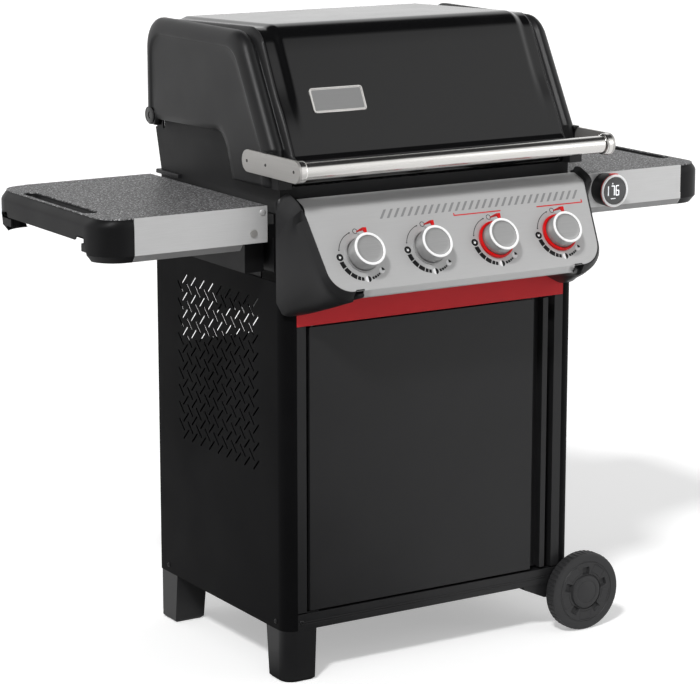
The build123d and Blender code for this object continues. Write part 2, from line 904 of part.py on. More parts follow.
def panel_side_outline(proud):
    """Front edge of the panel in side view, from the top's rear to the lip, moved out by proud."""
    face_bottom_depth = panel_top_depth - panel_length * lean_sin
    face_bottom_height = panel_top_height - panel_length * lean_cos
    out_depth = -proud * lean_cos
    out_height = proud * lean_sin
    return [
        (-gap, panel_roll_height - steel + proud, 0),
        (panel_roll_depth, panel_roll_height + proud, panel_roll_radius),
        (panel_top_depth + out_depth, panel_top_height + out_height, panel_top_radius),
        (face_bottom_depth + out_depth, face_bottom_height + out_height, panel_lip_radius),
        (lip_depth - proud, lip_height, 0),
    ]


panel_plane = face_frame(0, 0)

with BuildPart() as control_panel:
    with BuildSketch(profile(-panel_half_top)):
        rounded_outline(panel_side_outline(0) + [(-gap, lip_height, 0)])
        offset(amount=-steel, mode=Mode.SUBTRACT)
        with Locations((lip_depth / 2 + steel, lip_height)):
            Rectangle(-lip_depth, 3 * steel, mode=Mode.SUBTRACT)
        with Locations((-gap, (lip_height + panel_top_height) / 2)):
            Rectangle(3 * steel, panel_top_height - lip_height, mode=Mode.SUBTRACT)
    extrude(amount=2 * panel_half_top)
    with BuildSketch(panel_plane):
        rounded_outline(panel_outline(0))
    extrude(amount=panel_length, both=True, mode=Mode.INTERSECT)
    with BuildSketch(panel_plane):
        with Locations(*[(x, -dial_drop) for x in dial_positions]):
            Circle(stem_hole_radius)
    extrude(amount=-2 * steel, mode=Mode.SUBTRACT)
save(control_panel.part, "control_panel")


def cap_side_outline(inset):
    """Side outline of a control panel end cap: the panel's front edge, then its underside and back."""
    front = [(d + inset, h - inset, r) for d, h, r in panel_side_outline(cap_proud)]
    return front + [
        (cap_bottom_depth, cap_bottom_height + inset, cap_front_radius),
        (-gap - inset, cap_bottom_height + inset, cap_rear_radius),
    ]


def flared_block(inset):
    """The space behind the silver face's outline, flaring outwards to the back, for the end caps' sides."""
    with BuildPart() as block:
        with BuildSketch(panel_plane.offset(cap_proud)):
            rounded_outline(panel_outline(cap_rim - inset))
        extrude(amount=-panel_length, taper=-cap_flare)
    return block.part


with BuildPart() as control_cap_right:
    cap_inner = panel_half_bottom - panel_tail_inset + gap
    with BuildSketch(profile(cap_inner)):
        rounded_outline(cap_side_outline(0))
    extrude(amount=cap_half - cap_inner)
    add(flared_block(0), mode=Mode.INTERSECT)
    with BuildPart(mode=Mode.SUBTRACT) as cap_cavity:
        with BuildSketch(profile(cap_inner)):
            rounded_outline(cap_side_outline(0))
            offset(amount=-casting)
        extrude(amount=cap_half - cap_inner - casting)
        add(flared_block(casting), mode=Mode.INTERSECT)
    with BuildSketch(panel_plane):
        rounded_outline(panel_outline(gap))
    extrude(amount=panel_length, both=True, mode=Mode.SUBTRACT)
save(control_cap_right.part, "control_cap_right")

with BuildPart() as control_cap_left:
    mirror(control_cap_right.part, about=Plane.YZ)
save(control_cap_left.part, "control_cap_left")

# ---------------------------------------------------------------- knobs, valves and gas line


def stem_section(grow):
    """D-shaped section that the stem and the knob's socket share."""
    Circle(stem_radius + grow)
    with Locations((0, stem_flat + grow + stem_radius)):
        Rectangle(4 * stem_radius, 2 * stem_radius, mode=Mode.SUBTRACT)


socket_end = knob_length - 2 * knob_wall
stem_end = socket_end - knob_travel - 2 * gap
pointer_start = red_bezel_height + knob_travel + 3 * gap
pointer_base = knob_radius - knob_wall / 2


def make_knob(x):
    """A hollow knob with a rim, a socket for its stem and a pointer at the top."""
    base = face_frame(x, dial_drop)
    rim_start = knob_length - knob_rim_height
    with BuildPart() as knob:
        with BuildSketch(base.offset(knob_start)):
            Circle(knob_radius)
        extrude(amount=rim_start - knob_start)
        with BuildSketch(base.offset(rim_start)):
            Circle(knob_rim_radius)
        extrude(amount=knob_rim_height)
        with BuildSketch(base.offset(knob_length)):
            Circle(knob_rim_radius - knob_rim_width)
        extrude(amount=-knob_dish, mode=Mode.SUBTRACT)
        with BuildSketch(base.offset(knob_start)):
            Circle(knob_radius - knob_wall)
        extrude(amount=rim_start - knob_start - knob_wall, mode=Mode.SUBTRACT)
        with BuildSketch(base.offset(socket_start)):
            Circle(socket_radius)
        extrude(amount=rim_start - socket_start)
        with BuildSketch(base.offset(socket_start)):
            stem_section(pin_clearance)
        extrude(amount=socket_end - socket_start, mode=Mode.SUBTRACT)
        side_view = Plane(origin=base.origin, x_dir=base.y_dir, z_dir=(1, 0, 0))
        with BuildSketch(side_view.offset(-pointer_width / 2)):
            Polygon(
                (pointer_base, pointer_start),
                (knob_radius + knob_wall / 2, pointer_start),
                (pointer_reach, knob_length - knob_rim_height),
                (pointer_reach, knob_length),
                (pointer_base, knob_length),
            )
        extrude(amount=pointer_width)
    return knob.part


def make_stem(x):
    """A valve stem: thick where it turns in the valve, D-shaped where the knob slides on it."""
    base = face_frame(x, dial_drop)
    thin_start = -valve_start + steel
    with BuildPart() as stem:
        with BuildSketch(base.offset(thin_start)):
            stem_section(0)
        extrude(amount=stem_end - thin_start)
        with BuildSketch(base.offset(thin_start)):
            Circle(stem_thick_radius)
        extrude(amount=-(valve_length - 2 * casting))
    return stem.part


for number, x in enumerate(dial_positions, start=1):
    save(make_knob(x), f"knob_{number}")
    save(make_stem(x), f"valve_stem_{number}")

with BuildPart() as knob_bezels:
    for x in dial_positions:
        red = x > 0
        with BuildSketch(face_frame(x, dial_drop)):
            Circle(red_bezel_radius if red else bezel_radius)
            Circle(knob_rim_radius + gap, mode=Mode.SUBTRACT)
        extrude(amount=red_bezel_height if red else bezel_height)
save(knob_bezels.part, "knob_bezels")

jet_end = burner_start + 2 * casting
jet_start = dial_depth + (valve_start + valve_length - casting) * lean_cos - casting / 2

with BuildPart() as gas_valves:
    for x in dial_positions:
        valve_plane = face_frame(x, dial_drop).offset(-valve_start)
        with BuildSketch(valve_plane):
            Rectangle(valve_width, valve_width)
        extrude(amount=-valve_length)
        with BuildSketch(valve_plane):
            Circle(stem_thick_radius + pin_clearance)
        extrude(amount=-(valve_length - casting), mode=Mode.SUBTRACT)
        with BuildSketch(elevation(jet_start)):
            with Locations((x, burner_height)):
                Circle(jet_radius)
        extrude(amount=-(jet_end - jet_start))
save(gas_valves.part, "gas_valves")

with BuildPart() as gas_manifold:
    manifold_plane = face_frame(0, dial_drop).offset(-valve_start - valve_length / 2)
    manifold_drop = valve_width / 2 + manifold_radius + gap
    manifold_centre = manifold_plane.origin - manifold_plane.y_dir * manifold_drop
    with BuildSketch(Plane(origin=(-manifold_half, manifold_centre.Y, manifold_centre.Z), z_dir=(1, 0, 0))):
        Circle(manifold_radius)
    extrude(amount=2 * manifold_half)
    inlet_plane = Plane(origin=(inlet_x, manifold_centre.Y, manifold_centre.Z))
    inlet_steps = ((inlet_nut_radius, inlet_nut_length), (inlet_radius, inlet_nut_length + inlet_length))
    for radius, length in inlet_steps:
        with BuildSketch(inlet_plane):
            Circle(radius)
        extrude(amount=-length)
save(gas_manifold.part, "gas_manifold")

# ---------------------------------------------------------------- lid


def lid_outline(sink, inset=0, reach=0):
    """Side outline of the lid's shell: sink lowers the face and top, inset thins it, reach opens it below."""
    slope = math.tan(math.radians(face_lean))
    face = face_depth + (sink + inset) / math.cos(math.radians(face_lean))
    top = lid_top - sink - inset
    rear_top = top - lid_rear_drop
    front_bottom = lid_front_bottom_depth + inset
    below = [(front_bottom, lid_bottom - reach, 0)] if reach else []
    return below + [
        (front_bottom, lid_bottom, 0),
        (crease_depth + 1.5 * inset, crease_height, crease_radius),
        (face, face_height, face_radius),
        (face + (top - face_height) * slope, top, lid_top_radius - inset),
        (lid_rear_depth - inset, rear_top, lid_rear_radius - inset),
        (lid_rear_depth - inset, lid_rear_bottom - reach, 0),
    ]


with BuildPart() as lid_shell:
    for half, sink in ((shell_half, panel_raise), (raised_half, 0)):
        with BuildSketch(profile(-half)):
            rounded_outline(lid_outline(sink))
        extrude(amount=2 * half)
    for half, sink in ((shell_half, panel_raise), (raised_half - panel_raise, 0)):
        with BuildSketch(profile(-half)):
            rounded_outline(lid_outline(sink, lid_sheet, lid_cut_length))
        extrude(amount=2 * half, mode=Mode.SUBTRACT)
save(lid_shell.part, "lid_shell")


def end_outline(sink):
    """Side outline of the lid's cast end, sink inside its ridge, closed by a straight bottom."""
    slope = math.tan(math.radians(end_lean))
    face = end_face_depth + sink / math.cos(math.radians(end_lean))
    top = end_top - sink
    return [
        (end_front_depth + sink, lid_bottom, 0),
        (end_front_depth + sink, crease_height, face_radius),
        (face, end_face_height, face_radius),
        (face + (top - end_face_height) * slope, top, end_top_radius),
        (lid_rear_depth - sink, top, end_rear_radius),
        (lid_rear_depth - sink, lid_bottom, 0),
    ]


def seam_outline(inset):
    """The shell's side outline where the cast end meets it, with the cast end's straight bottom."""
    return lid_outline(panel_raise, inset)[:-1] + [(lid_rear_depth - inset, lid_bottom, 0)]


def open_below(corners):
    """The same outline carried on downwards from the lid's bottom edge, so that it cuts right through."""
    first, last = corners[0], corners[-1]
    return [(first[0], 0, 0)] + corners + [(last[0], 0, 0)]


with BuildPart() as lid_end_right:
    seam_x = shell_half + gap
    for x, corners in (
        (seam_x, seam_outline(0)),
        (groove_x, end_outline(groove_sink)),
        (ridge_x, end_outline(0)),
        (end_half, end_outline(end_edge_inset)),
    ):
        with BuildSketch(profile(x)):
            rounded_outline(corners)
    loft(ruled=True)
    for x, corners in (
        (seam_x, seam_outline(casting)),
        (groove_x, end_outline(groove_sink + casting)),
        (end_half - casting, end_outline(end_edge_inset + casting)),
    ):
        with BuildSketch(profile(x)):
            rounded_outline(open_below(corners))
    loft(ruled=True, mode=Mode.SUBTRACT)
    with BuildSketch(profile(seam_x)):
        lower_edge = [(step_depths[0] + d, lid_hinge_height + h) for d, h in end_step_points]
        lower_edge += [(lid_hinge_depth - d, lid_hinge_height - h) for d, h in end_hinge_points]
        behind = cart_depth + wheel_reach
        Polygon((step_depths[0], 0), *lower_edge, (behind, lower_edge[-1][1]), (behind, 0))
    extrude(amount=end_half - seam_x, mode=Mode.SUBTRACT)
    with BuildSketch(profile(seam_x)):
        with Locations((lid_rear_depth, lid_rear_bottom / 2)):
            Rectangle(6 * ear_radius, lid_rear_bottom)
    extrude(amount=end_half - casting - seam_x, mode=Mode.SUBTRACT)
    with BuildSketch(profile(end_half - casting)):
        with Locations(((boss_front + boss_rear) / 2, handle_height)):
            Rectangle(boss_rear - boss_front, 2 * boss_half)
    extrude(amount=plate_x - gap - end_half + casting)
    with BuildSketch(profile(end_half)):
        with Locations((lid_hinge_depth, lid_hinge_height)):
            Circle(hinge_pin_radius + pin_clearance)
    extrude(amount=-2 * casting, mode=Mode.SUBTRACT)
save(lid_end_right.part, "lid_end_right")

with BuildPart() as lid_end_left:
    mirror(lid_end_right.part, about=Plane.YZ)
save(lid_end_left.part, "lid_end_left")

with BuildPart() as lid_hinge_pins:
    pin_start = box_half - 2 * casting
    with BuildSketch(profile(pin_start)):
        with Locations((lid_hinge_depth, lid_hinge_height)):
            Circle(hinge_pin_radius)
    extrude(amount=end_half + gap - pin_start)
    with BuildSketch(profile(end_half + gap)):
        with Locations((lid_hinge_depth, lid_hinge_height)):
            Circle(hinge_cap_radius)
    extrude(amount=hinge_cap_thickness)
    mirror(about=Plane.YZ)
save(lid_hinge_pins.part, "lid_hinge_pins")

with BuildPart() as badge_plate:
    lean = math.radians(face_lean)
    badge_plane = Plane(
        origin=(0, front_y + face_depth, face_height),
        x_dir=(1, 0, 0),
        z_dir=(0, -math.cos(lean), math.sin(lean)),
    )
    with BuildSketch(badge_plane):
        with Locations((badge_centre_x, badge_start + badge_height / 2)):
            RectangleRounded(badge_width, badge_height, badge_corner)
    extrude(amount=badge_thickness)
save(badge_plate.part, "badge_plate")

# ---------------------------------------------------------------- handle

with BuildPart() as handle_tube:
    tube_half = plate_x - gap
    with BuildSketch(profile(-tube_half)):
        with Locations((handle_depth, handle_height)):
            Circle(handle_radius)
            Circle(handle_radius - handle_wall, mode=Mode.SUBTRACT)
    extrude(amount=2 * tube_half)
save(handle_tube.part, "handle_tube")

with BuildPart() as handle_ends:
    with BuildSketch(profile(plate_x)):
        with Locations(((handle_depth + plate_rear) / 2, handle_height)):
            SlotCenterToCenter(plate_rear - handle_depth, 2 * collar_radius)
    extrude(amount=plate_thickness)
    with BuildSketch(profile(collar_x)):
        with Locations((handle_depth, handle_height)):
            Circle(collar_radius)
            Circle(handle_radius + pin_clearance, mode=Mode.SUBTRACT)
    extrude(amount=plate_x - collar_x)
    mirror(about=Plane.YZ)
save(handle_ends.part, "handle_ends")

with BuildPart() as handle_rivets:
    with BuildSketch(profile(plate_x + plate_thickness)):
        with Locations(*[(depth, handle_height) for depth in rivet_depths]):
            Circle(rivet_radius)
    extrude(amount=rivet_height)
    mirror(about=Plane.YZ)
save(handle_rivets.part, "handle_rivets")

# ---------------------------------------------------------------- side tables

deck_front = table_front + steel + gap


def pivot_hole():
    """Running hole of a table's pivot, in a sketch seen from the front, drawn on the right."""
    with Locations((pivot_x, pivot_height)):
        Circle(pivot_radius + pin_clearance)


def end_cap_plan(inset, start, side_inset):
    """Plan of the right table's end, round at the outer corners: set in all round, begun start further out."""
    end = table_half - side_inset
    radius = end_cap_radius - side_inset
    rounded_outline(
        [
            (cap_start + start, table_front + inset, 0),
            (end, table_front + inset, radius),
            (end, table_rear - inset, radius),
            (cap_start + start, table_rear - inset, 0),
        ]
    )


def on_side(part, side):
    """The right-hand part itself, or its mirror image for the left."""
    if side > 0:
        return part
    with BuildPart() as mirrored:
        mirror(part, about=Plane.YZ)
    return mirrored.part


tray_slot_centre = (table_half - tray_slot_offset, (table_front + table_rear) / 2)


def make_deck(side):
    """A folded sheet with a skirt in front and behind, whose top runs on over the moulded end."""
    skirt_end = table_bottom + 2 * steel
    deck_path = [
        (deck_front, skirt_end),
        (deck_front, table_top),
        (table_rear, table_top),
        (table_rear, skirt_end),
    ]
    with BuildPart() as deck:
        with BuildSketch(profile(table_start)):
            Polygon(*bent_sheet(deck_path, -steel))
        extrude(amount=cap_start - gap - table_start)
        with BuildSketch(level(table_top)):
            end_cap_plan(end_edge_front, -steel, end_edge_side)
            with Locations(tray_slot_centre):
                SlotOverall(tray_slot_length, tray_slot_width, rotation=90, mode=Mode.SUBTRACT)
        extrude(amount=-steel)
        if side < 0:
            with BuildSketch(elevation(table_front)):
                pivot_hole()
            extrude(amount=-(table_rear - table_front), mode=Mode.SUBTRACT)
    return on_side(deck.part, side)


def make_fascia(side):
    """The silver front strip of a table, with a lip folded in along its bottom."""
    lip_path = [
        (table_front + fascia_lip_depth, table_bottom - fascia_lip_rise),
        (table_front, table_bottom),
        (table_front, table_bottom + 2 * steel),
    ]
    with BuildPart() as fascia:
        with BuildSketch(profile(table_start)):
            Polygon(*bent_sheet([(table_front, table_bottom), (table_front, table_top)], -steel))
        extrude(amount=cap_start - gap - table_start)
        with BuildSketch(profile(fascia_lip_start)):
            Polygon(*bent_sheet(lip_path, -steel))
        extrude(amount=cap_start - gap - fascia_lip_start)
        if side < 0:
            with BuildSketch(elevation(table_front)):
                pivot_hole()
            extrude(amount=-(table_rear - table_front), mode=Mode.SUBTRACT)
    return on_side(fascia.part, side)


def make_end_cap(side):
    """A moulded table end, hollow below, with a slot in its top and a raised lower edge between two hooks."""
    under_deck = table_top - steel - gap
    shoulder = table_top - end_shoulder_drop
    lip_bottom = table_bottom - fascia_lip_rise
    window_bottom = lip_bottom - casting
    window_top = table_bottom + hook_rise
    with BuildPart() as cap:
        with BuildSketch(level(table_bottom)):
            end_cap_plan(0, 0, 0)
        extrude(amount=shoulder - table_bottom)
        with BuildSketch(level(shoulder)):
            end_cap_plan(0, 0, 0)
        with BuildSketch(level(under_deck)):
            end_cap_plan(end_edge_front, 0, end_edge_side)
        loft()
        for wall, mode in ((0, Mode.ADD), (end_cap_wall, Mode.SUBTRACT)):
            for height, inset in ((lip_bottom, fascia_lip_depth), (table_bottom, 0)):
                with BuildSketch(level(height)):
                    end_cap_plan(inset + wall, wall, inset + wall)
            loft(mode=mode)
        with BuildSketch(level(table_bottom)):
            end_cap_plan(end_cap_wall, end_cap_wall, end_cap_wall)
        extrude(amount=shoulder - casting - table_bottom, mode=Mode.SUBTRACT)
        with BuildSketch(level(table_top)):
            with Locations(tray_slot_centre):
                SlotOverall(tray_slot_length, tray_slot_width, rotation=90)
        extrude(amount=-tray_slot_depth, mode=Mode.SUBTRACT)
        with BuildSketch(profile(table_half)):
            with Locations((sum(hook_depths) / 2, (window_bottom + window_top) / 2)):
                Rectangle(hook_depths[1] - hook_depths[0], window_top - window_bottom)
        extrude(amount=-(fascia_lip_depth + end_cap_wall + casting), mode=Mode.SUBTRACT)
    return on_side(cap.part, side)


for side, name in ((-1, "left"), (1, "right")):
    save(make_deck(side), f"{name}_table_deck")
    save(make_fascia(side), f"{name}_table_fascia")
    save(make_end_cap(side), f"{name}_table_end")

arm_front = deck_front + steel + arm_gap
arm_rear = table_rear - steel - arm_gap

with BuildPart() as table_brackets:
    plate_inner = box_half + gap
    plate_middle = plate_inner + casting / 2
    with BuildSketch(level(bracket_bottom)):
        with Locations((plate_middle, (arm_front + arm_rear) / 2)):
            Rectangle(casting, arm_rear - arm_front)
    extrude(amount=bracket_plate_top - bracket_bottom)
    with BuildSketch(level(side_top - leg_drop)):
        for depth in (bracket_front + leg_length, arm_rear - leg_length):
            with Locations((plate_middle, depth)):
                Rectangle(casting, leg_length)
    extrude(amount=bracket_bottom - side_top + leg_drop)
    for depth in (arm_front, arm_rear - casting):
        with BuildSketch(elevation(depth)):
            with Locations(((pivot_x + arm_reach + plate_inner) / 2, pivot_height)):
                Rectangle(pivot_x + arm_reach - plate_inner, 2 * arm_half)
            with Locations((pivot_x, pivot_height)):
                Circle(pivot_radius + pin_clearance, mode=Mode.SUBTRACT)
        extrude(amount=-casting)
    hood_middle = (bracket_outer - bracket_width / 2, (bracket_front + bracket_rear) / 2)
    hood_length = bracket_rear - bracket_front
    with BuildSketch(level(bracket_bottom)):
        with Locations(hood_middle):
            Rectangle(bracket_width, hood_length)
            Rectangle(bracket_width - 2 * casting, hood_length - 2 * casting, mode=Mode.SUBTRACT)
    extrude(amount=bracket_height)
    with BuildSketch(level(bracket_top - casting)):
        with Locations(hood_middle):
            Rectangle(bracket_width, hood_length)
    extrude(amount=casting)
    web_end = bracket_outer - bracket_width + casting
    for depth in bracket_webs:
        with BuildSketch(elevation(depth)):
            with Locations(((web_end + plate_inner) / 2, (bracket_bottom + bracket_top) / 2)):
                Rectangle(web_end - plate_inner, bracket_height)
        extrude(amount=-casting)
    mirror(about=Plane.YZ)
save(table_brackets.part, "table_brackets")

with BuildPart() as table_pivots:
    shank = 2 * (steel + casting) + gap
    for depth, direction in ((table_front, -1), (table_rear, 1)):
        outer_face = depth + direction * arm_gap
        for radius, length in ((pivot_radius, shank), (pivot_head_radius, -pivot_head_height)):
            with BuildSketch(elevation(outer_face)):
                with Locations((-pivot_x, pivot_height)):
                    Circle(radius)
            extrude(amount=direction * length)
save(table_pivots.part, "table_pivots")

# ---------------------------------------------------------------- display

with BuildPart() as display_housing:
    with BuildSketch(elevation(table_front)):
        with Locations((display_x, display_height)):
            Circle(display_radius)
    extrude(amount=display_reach)
    with BuildSketch(elevation(table_front - display_reach)):
        with Locations((display_x, display_height)):
            Circle(display_radius - display_rim)
    extrude(amount=-(screen_recess + screen_thickness), mode=Mode.SUBTRACT)
save(display_housing.part, "display_housing")

with BuildPart() as display_screen:
    with BuildSketch(elevation(table_front - display_reach + screen_recess)):
        with Locations((display_x, display_height)):
            Circle(display_radius - display_rim - pin_clearance)
    extrude(amount=-screen_thickness)
save(display_screen.part, "display_screen")
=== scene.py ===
import math

import bmesh
import bpy
import numpy as np
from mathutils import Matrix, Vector


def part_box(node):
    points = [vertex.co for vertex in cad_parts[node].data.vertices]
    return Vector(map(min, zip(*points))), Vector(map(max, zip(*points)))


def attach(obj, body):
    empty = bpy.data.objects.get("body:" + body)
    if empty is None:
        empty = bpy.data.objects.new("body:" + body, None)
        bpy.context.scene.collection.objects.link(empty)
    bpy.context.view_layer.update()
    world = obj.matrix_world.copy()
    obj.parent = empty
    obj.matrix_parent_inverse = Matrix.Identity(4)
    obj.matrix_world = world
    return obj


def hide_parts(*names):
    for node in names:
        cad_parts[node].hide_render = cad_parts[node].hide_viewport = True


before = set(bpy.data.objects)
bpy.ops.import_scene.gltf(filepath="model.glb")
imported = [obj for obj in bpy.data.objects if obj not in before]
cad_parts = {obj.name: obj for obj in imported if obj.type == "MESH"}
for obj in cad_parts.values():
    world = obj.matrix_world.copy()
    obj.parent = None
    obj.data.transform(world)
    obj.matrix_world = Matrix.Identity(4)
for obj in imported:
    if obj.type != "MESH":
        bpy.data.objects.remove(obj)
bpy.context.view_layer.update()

# Places are in millimetres here: X, depth behind the cabinet's front face, and height above the floor.
MM = 0.001
WELD = 1e-6
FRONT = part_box("red_band")[0].y
UP = np.array((0, 0, 1.0))
RIGHT = np.array((1.0, 0, 0))
BACK = np.array((0, 1.0, 0))


def box_mm(node):
    """A CAD node's lowest and highest corners as X, depth and height."""
    low, high = (np.array(corner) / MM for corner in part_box(node))
    shift = np.array((0, FRONT / MM, 0))
    return low - shift, high - shift


# ---------- curves and meshes


def unit(vector):
    return vector / np.linalg.norm(vector)


def rounded_path(corners, arc_steps=8, run_steps=1, closed=False):
    """Points along (a, b, radius) corners: an arc at each round corner, and run_steps pieces between them."""
    count = len(corners)
    groups = []
    for i, (a, b, radius) in enumerate(corners):
        here = np.array((a, b), float)
        if not radius or (not closed and i in (0, count - 1)):
            groups.append([here])
            continue
        before, after = (unit(np.array(corners[k % count][:2]) - here) for k in (i - 1, i + 1))
        half = math.acos(np.clip(before @ after, -1, 1)) / 2
        centre = here + unit(before + after) * radius / math.sin(half)
        start = here + before * radius / math.tan(half) - centre
        end = here + after * radius / math.tan(half) - centre
        first = math.atan2(start[1], start[0])
        turn = (math.atan2(end[1], end[0]) - first + math.pi) % math.tau - math.pi
        angles = first + turn * np.linspace(0, 1, arc_steps + 1)
        groups.append([centre + radius * np.array((math.cos(t), math.sin(t))) for t in angles])
    points = []
    for i, group in enumerate(groups):
        points += group
        if i + 1 < count or closed:
            ahead = groups[(i + 1) % count][0]
            points += [group[-1] + (ahead - group[-1]) * k / run_steps for k in range(1, run_steps)]
    return np.array(points)


def place(name, data):
    """A new object in the scene."""
    obj = bpy.data.objects.new(name, data)
    bpy.context.scene.collection.objects.link(obj)
    return obj


def smoothstep(value, start, end):
    """0 up to the start, 1 from the end on, and a soft step between."""
    t = np.clip((value - start) / (end - start), 0, 1)
    return t * t * (3 - 2 * t)


def build(name, points, faces, body, finish, slot=None, sharp=35, thick=0, bevel=0, replaces=()):
    """A piece from points in millimetres, smooth but for edges sharper than an angle."""
    mesh = bpy.data.meshes.new(name)
    shift = np.array((0, FRONT, 0))
    mesh.from_pydata([tuple(np.array(p) * MM + shift) for p in points], [], faces)
    mesh.validate()
    work = bmesh.new()
    work.from_mesh(mesh)
    bmesh.ops.remove_doubles(work, verts=work.verts, dist=WELD)
    bmesh.ops.recalc_face_normals(work, faces=work.faces)
    work.to_mesh(mesh)
    work.free()
    mesh.shade_smooth()
    mesh.set_sharp_from_angle(angle=math.radians(sharp))
    obj = place(name, mesh)
    obj.data.materials.append(M[finish])
    if thick:
        solid = obj.modifiers.new("thickness", "SOLIDIFY")
        solid.thickness = abs(thick) * MM
        solid.offset = -1 if thick > 0 else 1
    if bevel:
        soften(obj, bevel)
    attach(obj, body)
    if replaces:
        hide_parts(*replaces)


def grid_faces(rows, columns, wrap_rows=False, wrap_columns=False):
    """Quads of a grid of points that is stored row by row."""
    faces = []
    for r in range(rows if wrap_rows else rows - 1):
        for c in range(columns if wrap_columns else columns - 1):
            here, below, beside = r * columns, (r + 1) % rows * columns, (c + 1) % columns
            faces.append((here + c, here + beside, below + beside, below + c))
    return faces


def sheet(name, rows, body, finish, wrap_rows=False, wrap_columns=False, filled=(), **how):
    """A surface through rows of points, all with as many points, with a face across each filled row."""
    count = len(rows[0])
    faces = grid_faces(len(rows), count, wrap_rows, wrap_columns)
    faces += [tuple(range(row * count, (row + 1) * count)) for row in filled]
    build(name, [p for row in rows for p in row], faces, body, finish, **how)


def frame_map(origin, right, up, out):
    """Turns (a, b, c) in a tilted frame into X, depth and height."""
    origin, right, up, out = (np.array(v, float) for v in (origin, right, up, out))
    return lambda a, b, c: origin + a * right + b * up + c * out


def leaning(lean):
    """Outward and upward directions on a front face that leans back."""
    return np.array((0, -math.cos(lean), math.sin(lean))), np.array((0, math.sin(lean), math.cos(lean)))


def side_map(side, x, depth, height):
    """A frame at a place on one side of the grill, whose third axis points outwards."""
    return frame_map((side * x, depth, height), BACK, UP, side * RIGHT)


def revolve_points(outline, put, steps):
    """Points and faces of a (radius, height) outline turned about its frame's third axis."""
    angles = [math.tau * k / steps for k in range(steps)]
    points = [put(r * math.sin(t), r * math.cos(t), c) for t in angles for r, c in outline]
    return points, grid_faces(steps, len(outline), wrap_rows=True)


def turned(name, outline, put, body, finish, steps=96, **how):
    """A turned piece."""
    build(name, *revolve_points(outline, put, steps), body, finish, **how)


def prism(outline, put, low, high):
    """Points and faces of a flat outline carried from one height to another."""
    count = len(outline)
    points = [put(a, b, low) for a, b in outline] + [put(a, b, high) for a, b in outline]
    faces = [tuple(range(count)), tuple(range(2 * count - 1, count - 1, -1))]
    faces += [(k, (k + 1) % count, count + (k + 1) % count, count + k) for k in range(count)]
    return points, faces


def gather(parts):
    """Joins several (points, faces) pairs."""
    points, faces = [], []
    for more_points, more_faces in parts:
        faces += [tuple(i + len(points) for i in face) for face in more_faces]
        points += more_points
    return points, faces


def blocks(name, side, corners, body, finish, **how):
    """One piece of boxes between pairs of corners, on one side of the grill."""
    parts = []
    for (left, front, bottom), (right, rear, top) in corners:
        outline = [(left, front), (right, front), (right, rear), (left, rear)]
        parts.append(prism(outline, lambda x, d, h: (side * x, d, h), bottom, top))
    build(name, *gather(parts), body, finish, **how)


def circle(radius, count=32, start=0, end=math.tau, centre=(0, 0)):
    """Points on a circle or an arc, clockwise from 12 o'clock."""
    full = abs(end - start - math.tau) < 1e-9
    angles = np.linspace(start, end, count, endpoint=not full)
    return [(centre[0] + radius * math.sin(t), centre[1] + radius * math.cos(t)) for t in angles]


def ring_sector(inner, outer, start, end, count=12):
    """Outline of a piece of a ring."""
    return circle(outer, count, start, end) + circle(inner, count, start, end)[::-1]


# ---------- shading of edges

SHARP_EDGE = math.radians(32)
FLAT = math.radians(1)


def smooth_group():
    """Geometry nodes that weld a mesh and shade it smooth, but for its sharp edges."""
    group = bpy.data.node_groups.new("smooth_by_angle", "GeometryNodeTree")
    for way in ("INPUT", "OUTPUT"):
        group.interface.new_socket("Geometry", in_out=way, socket_type="NodeSocketGeometry")
    nodes, links = group.nodes, group.links
    chain = [nodes.new(kind) for kind in ("NodeGroupInput", "GeometryNodeMergeByDistance",
             "GeometryNodeSetShadeSmooth", "GeometryNodeSetShadeSmooth", "NodeGroupOutput")]
    for first, second in zip(chain, chain[1:]):
        links.new(first.outputs[0], second.inputs[0])
    weld, edges = chain[1], chain[3]
    weld.inputs["Distance"].default_value = WELD
    edges.domain = "EDGE"
    angle = nodes.new("GeometryNodeInputMeshEdgeAngle")
    compare = nodes.new("FunctionNodeCompare")
    compare.operation = "LESS_THAN"
    compare.inputs["B"].default_value = SHARP_EDGE
    links.new(angle.outputs["Unsigned Angle"], compare.inputs["A"])
    links.new(compare.outputs[0], edges.inputs["Shade Smooth"])
    return group


SMOOTH = smooth_group()


def smooth(obj):
    obj.modifiers.new("smooth", "NODES").node_group = SMOOTH


def soften(obj, width):
    """Rounds an object's sharp edges by a width in millimetres."""
    smooth(obj)
    dissolve = obj.modifiers.new("flats", "DECIMATE")
    dissolve.decimate_type = "DISSOLVE"
    dissolve.angle_limit = FLAT
    bevel = obj.modifiers.new("edges", "BEVEL")
    bevel.width = width * MM
    bevel.segments = 2
    bevel.limit_method = "ANGLE"
    bevel.angle_limit = SHARP_EDGE
    smooth(obj)
    flat_faces = obj.modifiers.new("flat_faces", "WEIGHTED_NORMAL")
    flat_faces.weight = 100
    flat_faces.keep_sharp = True


# ---------- materials


def srgb(*levels):
    """Linear colour from 0-255 levels."""
    return [((v / 255 + 0.055) / 1.055) ** 2.4 if v > 10 else v / 255 / 12.92 for v in levels]


def grey(level, blue=1):
    """A grey from a 0-255 level, with a touch of blue."""
    return srgb(level, level, level + blue)


